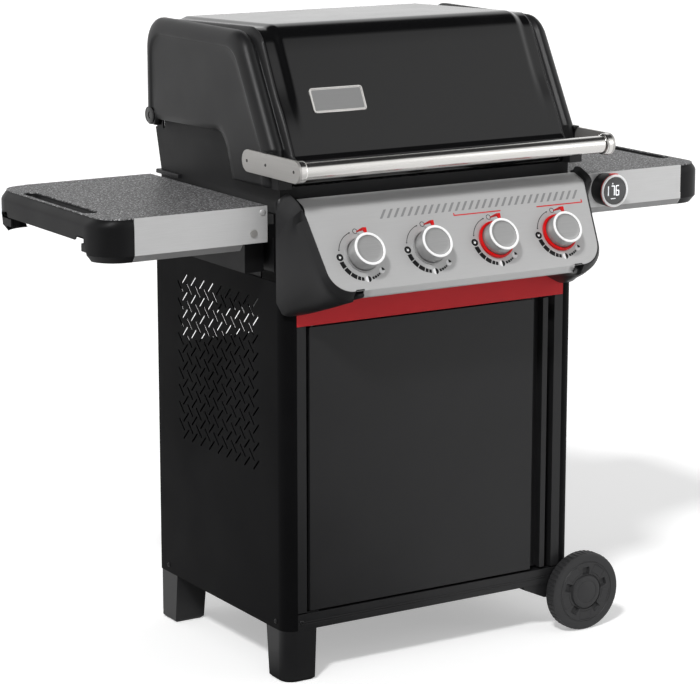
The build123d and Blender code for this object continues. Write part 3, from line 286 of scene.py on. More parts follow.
class Shader:
    """A material, or a world, under construction, with the few nodes that the finishes share."""

    def __init__(self, name, world=False):
        self.material = bpy.data.worlds.new(name) if world else bpy.data.materials.new(name)
        self.material.use_nodes = True
        self.tree = self.material.node_tree
        self.surface = self.tree.nodes["Background" if world else "Principled BSDF"]
        self.coords = self.tree.nodes.new("ShaderNodeTexCoord").outputs["Generated" if world else "Object"]

    def fill(self, socket, value):
        """Links a socket to another, or sets it to a number, a vector or a colour."""
        if isinstance(value, bpy.types.NodeSocket):
            self.tree.links.new(value, socket)
        else:
            socket.default_value = (*value, 1) if socket.type == "RGBA" else value

    def node(self, kind, inputs=None, **values):
        """A node whose inputs are filled by name or by number."""
        made = self.tree.nodes.new(kind)
        for key, value in values.items():
            setattr(made, key, value)
        for key, value in (inputs or {}).items():
            self.fill(made.inputs[key], value)
        return made

    def noise(self, scale, detail=3, stretch=(1, 1, 1), rough=0.55):
        """Noise in object space, scale cycles to the metre, longer along the axes with a small stretch."""
        place = self.node("ShaderNodeMapping", {"Vector": self.coords, "Scale": stretch}).outputs[0]
        inputs = {"Vector": place, "Scale": scale, "Detail": detail, "Roughness": rough}
        return self.node("ShaderNodeTexNoise", inputs).outputs["Fac"]

    def ranged(self, value, low, high, from_low=0.3, from_high=0.7):
        """A value carried from one range to another."""
        inputs = {"Value": value, "From Min": from_low, "From Max": from_high, "To Min": low, "To Max": high}
        return self.node("ShaderNodeMapRange", inputs).outputs[0]

    def mix(self, factor, first, second):
        """A colour between two, each a colour or a socket."""
        return self.node("ShaderNodeMix", {0: factor, 6: first, 7: second}, data_type="RGBA").outputs[2]

    def total(self, first, second, share):
        """first, with a share of second added."""
        inputs = {0: second, 1: share, 2: first}
        return self.node("ShaderNodeMath", inputs, operation="MULTIPLY_ADD").outputs[0]

    def bump(self, height, distance):
        """Relief from a height, distance millimetres deep."""
        self.set(normal=self.node("ShaderNodeBump", {"Distance": distance * MM, "Height": height}).outputs[0])

    def set(self, **values):
        """Fills the surface's own sockets."""
        for key, value in values.items():
            self.fill(self.surface.inputs[key.replace("_", " ").title().replace("Ior", "IOR")], value)


def shades(colour, spread):
    """A darker and a lighter shade of a colour."""
    return [c * (1 - spread) for c in colour], [min(1, c * (1 + spread)) for c in colour]


def painted(name, colour, roughness, spread=0.12, peel=0.012, grain=900, specular=0.5):
    """Paint, powder coat, enamel or moulded plastic: faint mottling, fine grain and orange peel."""
    s = Shader(name)
    mottle = s.noise(9, 4)
    fine = s.noise(grain, 2)
    blend = s.total(mottle, fine, 0.5)
    s.set(base_color=s.mix(s.ranged(blend, 0, 1, 0.5, 1.0), *shades(colour, spread)),
          roughness=s.ranged(blend, roughness * 0.88, roughness * 1.14, 0.5, 1.0),
          specular_ior_level=specular)
    s.bump(s.total(fine, s.noise(160, 2), 1.2), peel)
    return s.material


def brushed(name, colour, roughness, along=0, streak=0.10, scratch=0.004, metal=1.0, grain=1100, vary=0.27):
    """Metal with fine brush lines along an axis."""
    s = Shader(name)
    stretch = [1.0, 1.0, 1.0]
    stretch[along] = 0.012
    lines = s.noise(grain, 3, stretch, 0.7)
    smudge = s.noise(7, 4)
    mixed = s.total(lines, smudge, 0.8)
    s.set(base_color=s.mix(s.ranged(lines, 0, 1), *shades(colour, streak)), metallic=metal,
          roughness=s.ranged(mixed, roughness * (1 - vary), roughness * (1 + vary), 0.6, 1.2))
    s.bump(lines, scratch)
    return s.material


def speckled(name):
    """Textured grey powder coat of the tables, with light and dark specks and a wrinkled skin."""
    s = Shader(name)
    wrinkle = s.noise(190, 3, rough=0.6)
    ground = s.mix(s.ranged(wrinkle, 0, 1, 0.38, 0.62), grey(46), grey(120))
    with_light = s.mix(s.ranged(s.noise(280, 1), 0, 1, 0.58, 0.68), ground, grey(196))
    with_dark = s.mix(s.ranged(s.noise(250, 1), 0, 1, 0.6, 0.7), with_light, grey(20))
    s.set(base_color=with_dark, roughness=s.ranged(wrinkle, 0.42, 0.62), specular_ior_level=0.25)
    s.bump(wrinkle, 0.16)
    return s.material


def cast(name, colour, roughness):
    """Cast iron: pits, and darker and lighter patches."""
    s = Shader(name)
    skin = s.noise(420, 5, rough=0.7)
    patches = s.ranged(s.total(s.noise(30, 4), skin, 0.4), 0, 1, 0.5, 0.9)
    s.set(base_color=s.mix(patches, [c * 0.7 for c in colour], [c * 1.25 for c in colour]),
          roughness=s.ranged(skin, roughness * 0.85, roughness * 1.15))
    s.bump(skin, 0.12)
    return s.material


def glass(name):
    """Dark screen glass with faint smudges."""
    s = Shader(name)
    smudge = s.noise(60, 4)
    s.set(base_color=s.mix(s.ranged(smudge, 0, 1), srgb(28, 29, 31), srgb(38, 39, 41)),
          roughness=s.ranged(smudge, 0.08, 0.2), coat_weight=1.0, coat_roughness=0.03)
    return s.material


def lit(name, colour, strength):
    """A lit sign on a screen, a little uneven."""
    s = Shader(name)
    tone = s.mix(s.ranged(s.noise(300, 2), 0, 1), [c * 0.85 for c in colour], colour)
    s.set(base_color=tone, emission_color=tone, emission_strength=strength, roughness=0.4)
    return s.material


def silver_with_painted_underside_shade(name, colour, under):
    """The tables' silver fronts: faces that point down, the fold under their bottom edge, are turned to a
    darker grey as painted shade.
    """
    s = Shader(name)
    lines = s.noise(900, 3, (0.02, 1, 1), 0.7)
    face = s.mix(s.ranged(lines, 0, 1), *shades(colour, 0.04))
    split = s.node("ShaderNodeSeparateXYZ", {0: s.node("ShaderNodeTexCoord").outputs["Normal"]})
    # Faces whose normal points downwards blend to the darker under colour: painted shade under the fold.
    s.set(base_color=s.mix(s.ranged(split.outputs[2], 1, 0, -0.5, -0.3), face, under),
          roughness=s.ranged(lines, 0.38, 0.48), metallic=0.3)
    s.bump(lines, 0.003)
    return s.material


M = {
    "cabinet_black": painted("satin_black_paint", grey(30), 0.36, peel=0.008, specular=0.3),
    # The side panels' finish: the cabinet's satin black made darker and nearly without gloss, as painted
    # shade on the cart's sides.
    "cabinet_black_painted_side_shade": painted("side_panel_black_painted_shade", grey(15), 0.5, peel=0.008, specular=0.03),
    "inner_steel": painted("inside_black_paint", grey(20), 0.5, specular=0.2),
    "band_red": painted("red_paint", srgb(192, 36, 42), 0.42, spread=0.05, peel=0.006, specular=0.2),
    "panel_silver": brushed("silver_panel", grey(186, 0), 0.42, metal=0.3, streak=0.03, grain=900),
    # The fascia's second grey is painted shade on its downward-facing fold.
    "fascia_silver": silver_with_painted_underside_shade("silver_fascia", grey(202, 0), grey(146, 0)),
    "table_speckle": speckled("speckled_table"),
    "trim_black": painted("black_plastic", grey(34), 0.4, peel=0.02, grain=1400, specular=0.3),
    "end_black": painted("table_end_plastic", grey(24), 0.42, peel=0.02, grain=1400, specular=0.14),
    "lid_enamel": painted("black_enamel", grey(12), 0.15, spread=0.08, peel=0.004, specular=0.42),
    "casting_black": painted("cast_black_paint", grey(27), 0.42, spread=0.08, grain=1100, specular=0.28),
    "bright_steel": brushed("polished_stainless", srgb(222, 220, 217), 0.18, streak=0.02, scratch=0,
                            vary=0.04),
    "plate_steel": brushed("satin_stainless", srgb(188, 186, 183), 0.40, along=1, streak=0.06, metal=0.7),
    "knob_grey": brushed("knob_metal", grey(172, 0), 0.4, metal=0.5, streak=0.05, scratch=0.003),
    "knob_face": brushed("knob_face_metal", grey(168, 0), 0.4, metal=0.6, streak=0.08),
    "knob_red": painted("gloss_red_plastic", srgb(206, 8, 12), 0.34, spread=0.05, peel=0.006, specular=0.25),
    "tyre_black": painted("wheel_plastic", grey(48), 0.5, peel=0.03, grain=1600, specular=0.3),
    "cast_grate": cast("seasoned_cast_iron", srgb(40, 38, 36), 0.62),
    "steel_plain": brushed("plain_stainless", srgb(190, 186, 180), 0.36, streak=0.10),
    "tray_aluminium": brushed("pressed_aluminium", srgb(120, 121, 122), 0.5, streak=0.06, metal=0.6),
    "brass_fitting": brushed("brass", srgb(190, 150, 84), 0.3, streak=0.08),
    "screen_glass": glass("screen_glass"),
    "white_ring": painted("white_plastic", grey(252, 0), 0.3, spread=0.02, peel=0.004),
    # Black print for the marks. The same black also stands as painted shade in the cookbox slots and the
    # handle's rivet dimples.
    "mark_black": painted("dark_print_and_painted_shade", grey(22), 0.5, spread=0.1, peel=0.002, specular=0.2),
    "mark_grey": painted("grey_print", grey(136), 0.5, spread=0.05, peel=0.002),
    "mark_red": painted("red_print", srgb(206, 32, 36), 0.5, spread=0.05, peel=0.002),
    "mark_white": painted("white_print", grey(226), 0.45, spread=0.03, peel=0.002),
    "screen_sign": lit("screen_sign", srgb(236, 238, 240), 0.9),
    "bare_plate": brushed("badge_silver", grey(150, 0), 0.42, metal=0.7, streak=0.04),
}

# The record's slot of a finish, where it has another name.
SLOT = {
    "bare_plate": "bright_steel", "white_ring": "bright_steel", "plate_steel": "steel_plain",
    "cabinet_black_painted_side_shade": "cabinet_black", "fascia_silver": "panel_silver", "screen_sign": "screen_glass",
    "knob_face": "knob_grey", "knob_red": "knob_grey",
    **dict.fromkeys(("end_black", "mark_black", "mark_grey", "mark_red", "mark_white"), "trim_black"),
}

# CAD nodes that stay, with their finish and the radius of their edges.
KEPT = {
    "cabinet_black": {"door_frame": 0.6, "base_frame": 0.6, "back_panel": 0, "left_feet": 1.2,
                      "axle_brackets": 1.0, "door_panel": 0.9},
    # The side panels take the darker copy of the cabinet black: painted shade.
    "cabinet_black_painted_side_shade": {"left_side_panel": 0, "right_side_panel": 0},
    "inner_steel": {"bottom_shelf": 0.6, "door_liner": 0.5, "door_hinge_brackets": 0.4, "tray_runners": 0.5,
                    "table_brackets": 0.6, "cookbox": 0},
    "band_red": {"red_band": 0.6},
    "steel_plain": {"axle": 0.5, "door_hinge_pins": 0.3, "burner_tubes": 0.3, "heat_bars": 0.5,
                    "warming_rack": 0.8, **{f"valve_stem_{k}": 0.2 for k in (1, 2, 3, 4)}},
    "trim_black": {"door_magnet": 0.8},
    "cast_grate": {"cooking_grates": 1.2},
    "brass_fitting": {"gas_valves": 0.8, "gas_manifold": 0.5},
    "tray_aluminium": {"grease_tray": 0.6, "catch_pan": 0.6},
    "table_speckle": {"left_table_deck": 1.2, "right_table_deck": 1.2},
    "fascia_silver": {"left_table_fascia": 0.7, "right_table_fascia": 0.7},
    "plate_steel": {"table_pivots": 0.6},
}


def dress(node, finish, radius=0):
    """Gives a CAD node its finish, and rounds its edges by a radius."""
    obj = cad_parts[node]
    obj.data.materials.clear()
    obj.data.materials.append(M[finish])
    if radius:
        soften(obj, radius)
    else:
        smooth(obj)
    return obj


for finish, nodes in KEPT.items():
    for node, radius in nodes.items():
        dress(node, finish, radius)
dress("lid_hinge_pins", "lid_enamel")

# ---------- lid

SIDES = ((-1, "left"), (1, "right"))
# The shell: where its face starts, the heights and the rear of its outline, and its raised middle.
LID_FACE, LID_LEAN = (8.3, 963.7), math.radians(27)
LID_TOP, LID_BOTTOM, LID_REAR, SHELL_END = 1183.8, 910, 485.0, 1003.0
LID_RAISE, FADE = 5.0, (1018, 1072)
SHELL_WALL, CASTING_WALL = 2.2, 2.6
# The castings: X of their seam, ridge, side field and side, and where they pass beside the cookbox.
SEAM, RIDGE, FIELD_SIDE, END_SIDE, COOKBOX_CLEAR = 290.0, 313, 329.9, 331.7, 319.0
GROOVE, END_LEAN, CASTING_END = 6, math.radians(29.2), 974.0
# Depth and height of the hinge's and the handle's axes, and the handle's end plates.
HINGE, HANDLE_AXIS = (467.0, 991.0), (-71.5, 951.0)
PLATE_SIDE, PLATE_THICK = 333, 4.9


def lid_outlines(sink=0):
    """Side outlines of the lid's enamelled shell, of its raised middle and of its border, sunk a little."""
    outlines = []
    for drop in (sink, sink + LID_RAISE):
        face = LID_FACE[0] + drop / math.cos(LID_LEAN)
        top = LID_TOP - drop
        corners = [
            (20, LID_BOTTOM, 0),
            (-1.6, 955, 5),
            (face, LID_FACE[1], 7),
            (face + (top - LID_FACE[1]) * math.tan(LID_LEAN), top, 46),
            (LID_REAR, top - 12, 30),
            (LID_REAR - sink, SHELL_END, 0),
        ]
        outlines.append(rounded_path(corners, 10, 8))
    return outlines


def casting_outline(x, sink):
    """Side outline of a cast end, sink inside its ridge, down to the cookbox or beside it to the hinge."""
    face = 20.5 + sink / math.cos(END_LEAN)
    top = 1172 - sink
    corners = [
        (19 + sink, LID_BOTTOM, 0),
        (19 + sink, 955, 8),
        (face, 976, 8),
        (face + (top - 976) * math.tan(END_LEAN), top, 55),
        (LID_REAR - sink, top, 44),
        (LID_REAR - sink, SHELL_END if x < COOKBOX_CLEAR else CASTING_END, 0),
    ]
    return rounded_path(corners, 10, 8)


def lid_shell():
    """Shell with a raised centre panel, whose soft flanks fade out towards the bottom."""
    high, low = lid_outlines()
    flank = np.concatenate((np.linspace(250, 274, 13), (278, 282, 286, 288.8, SEAM)))
    xs = np.concatenate((-flank[::-1], np.linspace(-200, 200, 9), flank))
    rows = []
    for x in xs:
        fade = smoothstep(high[:, 1], FADE[0] + 0.9 * max(0, 268 - abs(x)), FADE[1])
        share = smoothstep(abs(x), 253, 271) * fade
        row = high + (low - high) * share[:, None]
        drop = 0.8 * max(0, (abs(x) - 288) / 2) ** 2
        centre = np.array((250, 1050))
        row = row + (centre - row) / np.linalg.norm(centre - row, axis=1)[:, None] * drop
        rows.append([(x, d, h) for d, h in row])
    sheet("lid_shell_enamel", rows, "lid", "lid_enamel", sharp=50, thick=SHELL_WALL, replaces=["lid_shell"])


def lower_edge(grow):
    """Lower edge of a cast end's side, with a flange band of width grow along it."""
    corners = [
        (156 - grow, LID_BOTTOM, 0),
        (177 - grow * 0.9, 968 + grow * 0.35, 30),
        (199 - grow * 0.6, 992.5 + grow, 24),
        (445, 987 + grow, 0),
        (449, CASTING_END, 0),
    ]
    return rounded_path(corners, 8, 6)


def lengths(points):
    """How far along a polyline each of its points lies."""
    return np.concatenate(((0,), np.cumsum(np.linalg.norm(np.diff(points, axis=0), axis=1))))


def resampled(points, like):
    """Points of a polyline at the same shares of its length as another's points."""
    steps, others = lengths(points), lengths(like)
    at = others / others[-1] * steps[-1]
    return np.stack([np.interp(at, steps, points[:, k]) for k in range(points.shape[1])], axis=1)


def lid_end(side, name):
    """A cast end: a step at the seam, a groove, a ridge and a crowned side with a flanged lower edge."""
    rows = []

    def seam(sink):
        """The shell's outline at the seam, whose step fades out towards the bottom."""
        high, low = lid_outlines(sink)
        return high + (low - high) * smoothstep(high[:, 1], *FADE)[:, None]

    def add(x, outline):
        rows.append([(side * x, d, h) for d, h in outline])

    for x in (SEAM + 0.4, SEAM + 1.2):
        add(x, seam(0.6))
    groove = casting_outline(0, GROOVE)
    for x in (294, 296, 298, 300, 302):
        add(x, seam(0) + (groove - seam(0)) * smoothstep(x, 291, 301))
    for x in (304, 306, 308, 310, 312):
        add(x, casting_outline(x, GROOVE * (1 - smoothstep(x, 302, RIDGE))))
    for turn in np.radians((12, 24, 36, 48, 60, 70, 80, 90)):
        x = RIDGE + 20 * math.sin(turn)
        add(x, casting_outline(x, 22 * (1 - math.cos(turn))))
    for x, sink in ((332.8, 23), (332, 24.4), (330.9, 25.8), (330.2, 27.4)):
        add(x, casting_outline(x, sink))
    border = casting_outline(FIELD_SIDE, 29.5)
    flange = resampled(lower_edge(10), border)
    edge = resampled(lower_edge(0), border)
    for t in (0.08, 0.2, 0.35, 0.5, 0.65, 0.8, 0.92, 1.0):
        add(FIELD_SIDE + 1.7 * smoothstep(t, 0, 1), border + (flange - border) * t)
    add(END_SIDE - 0.8, flange + (edge - flange) * 0.15)
    add(END_SIDE - 3.4, flange + (edge - flange) * 0.9)
    add(END_SIDE - 4.4, edge)
    add(END_SIDE - 12, edge)
    sheet(f"lid_casting_{name}", rows, "lid", "casting_black", sharp=40, thick=CASTING_WALL * side,
          replaces=[f"lid_end_{name}"])


def handle_mount(side, name):
    """Black spacer behind the handle's end plate, and the small shelf in front of it."""
    corners = [((END_SIDE - 2, 28, 930), (332.9, 96, 973.5)), ((325, 21, 968.5), (337.5, 38, 973.5)),
               ((300, -1.5, 909), (328, 22, 950))]
    blocks(f"handle_mount_{name}", side, corners, "lid", "casting_black", bevel=0.5)


def hinge_cap(side, name):
    """Round cap on the end of a lid hinge pin, with a dished face."""
    put = side_map(side, 332.2, HINGE[0] - 6, HINGE[1])
    outline = [(0, 3.0), (6, 3.0), (6.6, 4.6), (12.5, 4.6), (14.4, 3.8), (15, 2.2), (15, 0), (0, 0)]
    turned(f"hinge_cap_{name}", outline, put, "root", "lid_enamel", 48, slot="casting_black")


def badge():
    """A bare badge plate: a raised bright rim round a satin field."""
    out, up = leaning(LID_LEAN)
    put = frame_map((-172.5, *LID_FACE), RIGHT, up, out)

    def outline(grow, radius):
        half, low, high = 55.5 + grow, 76.5 - grow, 124 + grow
        corners = [(-half, low, radius), (half, low, radius), (half, high, radius), (-half, high, radius)]
        return rounded_path(corners, 6, closed=True)

    rim = ((0, 6, -0.5), (0, 6, 1.2), (-0.6, 5.4, 1.9), (-2.4, 4, 1.9), (-3, 3.4, 1.1))
    rows = [[put(a, b, height) for a, b in outline(grow, radius)] for grow, radius, height in rim]
    sheet("badge_rim", rows, "lid", "bright_steel", wrap_columns=True, filled=[len(rows) - 1],
          replaces=["badge_plate"])
    build("badge_field", *prism(outline(-4.4, 2.6), put, 0.9, 1.7), "lid", "bare_plate", bevel=0.3)


def handle():
    """Bright tube between two collars, each on a long rounded plate with three rivets, whose dimpled heads
    are black as painted shade.
    """
    depth, height = HANDLE_AXIS
    put = frame_map((-331, depth, height), BACK, UP, RIGHT)
    tube = [(15.87, 0), (15.87, 662), (14.4, 662), (14.4, 0)]
    turned("handle_bar", tube, put, "lid", "bright_steel", replaces=["handle_tube"])
    collar = [(16, -13), (18.2, -13), (19.2, -12.4), (19.6, -11.4), (19.6, -9.4), (20, -9), (20, 0), (16, 0)]
    dimple = [(0, 0.1), (1.2, 0.1), (1.7, 0.45), (2.5, 0.4), (2.9, 0), (0, 0)]
    outline = circle(20, 24, 0, math.pi, (89.5, 0)) + circle(20, 24, math.pi, math.tau, (depth, 0))
    for side, name in SIDES:
        put = side_map(side, PLATE_SIDE, depth, height)
        turned(f"handle_collar_{name}", collar, put, "lid", "bright_steel", 72)
        plate = side_map(side, PLATE_SIDE, 0, height)
        build(f"handle_plate_{name}", *prism(outline, plate, 0, PLATE_THICK), "lid", "plate_steel",
              slot="bright_steel", bevel=0.7, replaces=["handle_ends"] if side < 0 else [])
        # The rivet heads are drawn in black: painted shade in their dimples on the steel plate.
        spots = [side_map(side, 337.8, d, height) for d in (-71, 26, 91)]
        heads = gather([revolve_points(dimple, spot, 28) for spot in spots])
        build(f"handle_rivet_dimple_shade_{name}", *heads, "lid", "mark_black", slot="bright_steel",
              replaces=["handle_rivets"] if side < 0 else [])


def cookbox_details():
    """The small slot in each side of the cookbox, a thin black plate that paints the shade in it, and the
    rail along the rear of its rim.
    """
    half = box_mm("cookbox")[1][0]
    outline = [(221, 978), (228, 976), (229, 988), (233, 989), (232, 993), (221, 993)]
    for side, name in SIDES:
        plate = side_map(side, half + 0.1, 0, 0)
        # The slot is a thin black plate on the side: painted shade where the opening is.
        build(f"cookbox_opening_shade_{name}", *prism(outline, plate, -1.5, 0.3), "root", "mark_black",
              slot="casting_black")
        rail = [((half - 6, 387, 878.5), (half + 6, 476, 886.5))]
        blocks(f"cookbox_rail_{name}", side, rail, "root", "trim_black", slot="casting_black", bevel=1.5)


lid_shell()
for make in (lid_end, handle_mount, hinge_cap):
    for side, name in SIDES:
        make(side, name)
badge()
handle()
cookbox_details()

# ---------- control panel

# The face: its top edge, its length down the slope, and half its width at the top, the bottom and the lip.
PANEL_TOP, PANEL_LENGTH = (-42.3, 881.1), 161.1
PANEL_HALF, PANEL_BOTTOM_HALF, LIP_HALF = 302.4, 286.4, 226.4
PANEL_OUT, PANEL_UP = leaning(math.radians(30.1))
DIALS, DIAL_DROP = (-212.0, -71.5, 71.5, 212.0), 96.5
ON_PANEL = frame_map((0, *PANEL_TOP), RIGHT, PANEL_UP, PANEL_OUT)


def panel_edge():
    """Right edge of the panel's face as (x, drop) points, with its round bottom corner."""
    corners = [(PANEL_HALF, 0, 0), (PANEL_BOTTOM_HALF, PANEL_LENGTH, 45), (LIP_HALF, PANEL_LENGTH, 0)]
    return rounded_path(corners, 14, 6)


def roll_path():
    """Side section above the face: from the panel's rear edge over its rolled top."""
    corners = [(-0.3, 890.5, 0), (-14, 892.5, 12), (*PANEL_TOP, 18), (-123.1, 741.7, 0)]
    path = rounded_path(corners, 8, 2)
    return [p for p in path if p[1] > PANEL_TOP[1] - 14]


def control_panel():
    """The silver panel: rolled top, flat face and the lip turned under along the bottom."""
    across = np.linspace(-1, 1, 25)
    rows = [[(t * PANEL_HALF, depth, height) for t in across] for depth, height in roll_path()]
    last = 18.0  # the rolled top's rows reach down to here
    for x, drop in panel_edge():
        if drop > last + 0.02:
            depth, height = ON_PANEL(0, -drop, 0)[1:]
            rows.append([(t * x, depth, height) for t in across])
            last = drop
    sheet("control_panel_face", rows, "root", "panel_silver", sharp=50, thick=2, bevel=0.5,
          replaces=["control_panel"])
    start, turn = (ON_PANEL(0, drop - PANEL_LENGTH, 0.06)[1:] for drop in (2, 0))
    lip = rounded_path([(*start, 0), (*turn, 3.5), (-116, 727, 0)], 8, 4)
    rows = [[(t * LIP_HALF, d, h) for t in across] for d, h in lip]
    sheet("control_panel_lip", rows, "root", "panel_silver", sharp=50, thick=2)


def cap_bottom(x):
    """Lowest part of an end cap's underside, which rises towards its inner end."""
    rise = smoothstep(x, 288, 226)
    return np.array((x, -45 - 65 * rise, 690 + 35 * rise))


def control_cap(side, name):
    """A moulded end cap: a narrow lip along the panel's edge, a facet, then a soft wall back to the cart."""
    path = [(PANEL_HALF, depth, height) for depth, height in roll_path()[:-1]]
    path += [tuple(ON_PANEL(x, -drop, 0)) for x, drop in panel_edge() if drop > 12]
    points = np.array(path)
    rear_path = rounded_path([(333, 886, 0), (333, 682, 30), (284, 682, 30), (226, 713, 0)], 12, 12)
    rears = resampled(rear_path, points)
    runs = np.gradient(points, axis=0)
    steps = lengths(points)
    rows = []
    for here, (x, height), run, share in zip(points, rears, runs, steps / steps[-1]):
        run = unit(run)
        out = PANEL_OUT
        if here[2] > PANEL_TOP[1] - 12:
            out = unit(np.cross(RIGHT, run))
        away = np.cross(run, out)
        away *= 1 if away[0] > -1e-6 else -1
        turn = 4.9 * smoothstep(share, 0.7, 0.88)
        rear = np.array((x, -0.4, height))
        lip = ((0.3, -4), (0.3, 0.5), (0.8, 1.0), (1.8, 1.0), (2.6, 0.3), (9.4, -8.6 - turn))
        row = [here + a * away + b * out for a, b in lip]
        start = here + 10.6 * away - (10.4 + turn) * out
        under = smoothstep(share, 0.62, 0.92)
        middle = ((start + rear) / 2 + 3 * RIGHT) * (1 - under) + cap_bottom(here[0]) * under
        pull = 2 * middle - (start + rear) / 2
        for t in np.linspace(0, 1, 15):
            row.append(start * (1 - t) ** 2 + pull * 2 * t * (1 - t) + rear * t * t)
        rows.append([(side * p[0], min(p[1], -0.4), p[2]) for p in row])
    sheet(f"panel_cap_{name}", rows, "root", "trim_black", filled=(0, len(rows) - 1), sharp=34,
          replaces=[f"control_cap_{name}"])


def flat_marks(name, outlines, put, finish, low=0.02, high=0.22):
    """Printed marks: thin plates on a surface."""
    build(name, *gather([prism(outline, put, low, high) for outline in outlines]), "root", finish)


def dashes_and_bracket():
    """The row of slanted dashes, and the red bracket under its right half with a bare gap."""
    slanted = []
    for k in range(30):
        x = -155 + 14.45 * k
        slanted.append([(x, -33.5), (x + 5.4, -33.5), (x + 18.2, -17), (x + 12.8, -17)])
    flat_marks("panel_dashes", slanted, ON_PANEL, "mark_grey")
    bars = ((-1, 101, 40.6, 42.8), (181, 284.6, 40.6, 42.8), (-1, 1.2, 37.2, 40.6),
            (282.4, 284.6, 36.2, 40.6))
    bracket = [[(left, -high), (right, -high), (right, -low), (left, -low)]
               for left, right, low, high in bars]
    flat_marks("panel_bracket", bracket, ON_PANEL, "mark_red")


def dial_marks():
    """Printed scale round each knob: off ring, arrowed arc, high disc, fading dashes and low discs."""
    black, white, icons = [], [], []
    hour = math.tau / 12
    ring = 45.0
    spans = ((-3.36, -3.88, 8.6), (-3.95, -4.47, 8.3), (-4.54, -5.04, 7.9), (-5.11, -5.36, 7.0),
             (-5.42, -5.64, 6.4))
    low_spans = ((-6.36, -6.54, 4.8), (-6.60, -6.78, 4.4), (-6.84, -7.00, 4.0), (-7.05, -7.18, 3.6))
    flame = ((-2.4, -1.6), (0.4, -3), (2.6, -0.4), (2, 2.2), (0.6, 0.6), (-1.2, 3.2))

    def spot(radius, turn):
        return radius * math.sin(turn), radius * math.cos(turn)

    for x in DIALS:

        def move(shape, to=(0, 0)):
            return [(x + (a + to[0]), (b + to[1]) - DIAL_DROP) for a, b in shape]

        def dashes(widths, count):
            for start, end, width in widths:
                inner, outer = ring - width / 2, ring + width / 2
                black.append(move(ring_sector(inner, outer, end * hour, start * hour, count)))

        for k in range(12):
            black.append(move(ring_sector(3.9, 4.9, k * hour, (k + 1) * hour, 3), spot(ring, -0.02 * hour)))
        black.append(move(ring_sector(ring - 0.55, ring + 0.55, -2.35 * hour, -0.62 * hour, 20)))
        for t, way in ((-2.38 * hour, -1), (-0.60 * hour, 1)):
            tip = spot(ring, t + way * 0.07)
            black.append(move([tip, spot(ring + 1.7, t), spot(ring - 1.7, t)][::way]))
        high = spot(ring, -3 * hour)
        black.append(move(circle(6.8, 28, centre=high)))
        icons.append(move(flame, high))
        dashes(spans, 8)
        for t, radius, share in ((-6 * hour, 5.8, 0.5), (-7.5 * hour, 5.6, 0.25)):
            middle = spot(ring, t)
            white.append(move(circle(radius, 24, centre=middle)))
            tip = [middle] if share < 0.5 else []
            black.append(move(circle(radius, 14, 0, share * math.tau, middle) + tip))
        dashes(low_spans, 6)
    flat_marks("dial_marks_white", white, ON_PANEL, "mark_white", high=0.14)
    flat_marks("dial_marks_black", black, ON_PANEL, "mark_black", high=0.26)
    flat_marks("dial_marks_icons", icons, ON_PANEL, "mark_white", high=0.36)


def knob(number, x):
    """A knob: matt barrel with a bright rim, a brushed face and a red pointer, over its bezel."""
    put = frame_map(ON_PANEL(x, -DIAL_DROP, 0), RIGHT, PANEL_UP, PANEL_OUT)
    body = f"knob_{number}"
    barrel = [(24, 6), (28.4, 4.7), (29.4, 5.2), (29.7, 6.4), (29.9, 28.8), (29.5, 29.5), (29.4, 30)]
    barrel += [(20, 30), (20, 6)]
    turned(f"{body}_barrel", barrel, put, body, "knob_grey", replaces=[body])
    rim = [(25.2, 30), (29.8, 30), (30.2, 30.6), (30.2, 32.2), (29.6, 32.9), (27.4, 33), (26.2, 32.7),
           (25.5, 32)]
    turned(f"{body}_rim", rim, put, body, "white_ring")
    face = [(0, 31.9), (20, 31.9), (24.6, 31.8), (25.4, 31.4), (25.4, 30.2), (0, 30.2)]
    turned(f"{body}_disc", face, put, body, "knob_face")
    arm = [(30.1, 30.2), (36.2, 27), (41.4, 4.8), (43.6, 5), (41, 28), (40, 32.2), (38.6, 33), (30.1, 33)]
    half_widths = (2.2, 2.6, 1.2, 1.2, 3.2, 3.4, 3.3, 2.4)
    pointer = prism(list(zip(arm, half_widths)), lambda spot, half, way: put(way * half, *spot), -1, 1)
    build(f"{body}_pointer", *pointer, body, "knob_red", bevel=0.5)
    if x > 0:
        bezel = [(30.5, 0), (34.4, 0), (35, 0.8), (35, 5.6), (34.2, 6.7), (33, 7), (31, 7), (30.5, 6.4)]
    else:
        bezel = [(30.5, 0), (32.2, 0), (32.4, 1), (32.4, 2.4), (31.9, 3), (30.8, 3), (30.5, 2.6)]
    turned(f"bezel_{number}", bezel, put, "root", "knob_red" if x > 0 else "knob_grey",
           replaces=["knob_bezels"] if number == 1 else [])


control_panel()
for side, name in SIDES:
    control_cap(side, name)
dashes_and_bracket()
dial_marks()
for number, x in enumerate(DIALS, start=1):
    knob(number, x)

# ---------- side tables and display

TABLE_BODY = {-1: "left_table", 1: "root"}
TABLE_TOP, TABLE_FRONT, TABLE_REAR, TABLE_END = 878.0, 33.1, 474.7, 659.0
CAP_START = 592.3
SLOT_FROM_END, SLOT_REACH = 33, 118


def cap_plan(inset, side_inset):
    """Plan of a table's end, from its front inner corner round to its rear one."""
    end, radius = TABLE_END - side_inset, 58 - side_inset
    corners = [
        (CAP_START, TABLE_FRONT + inset, 0),
        (end, TABLE_FRONT + inset, radius),
        (end, TABLE_REAR - inset, radius),
        (CAP_START, TABLE_REAR - inset, 0),
    ]
    return rounded_path(corners, 14, 90)


def between(value, start, end, soft):
    """1 between two places and 0 outside them, with soft steps."""
    return smoothstep(value, start - soft, start + soft) * (1 - smoothstep(value, end - soft, end + soft))


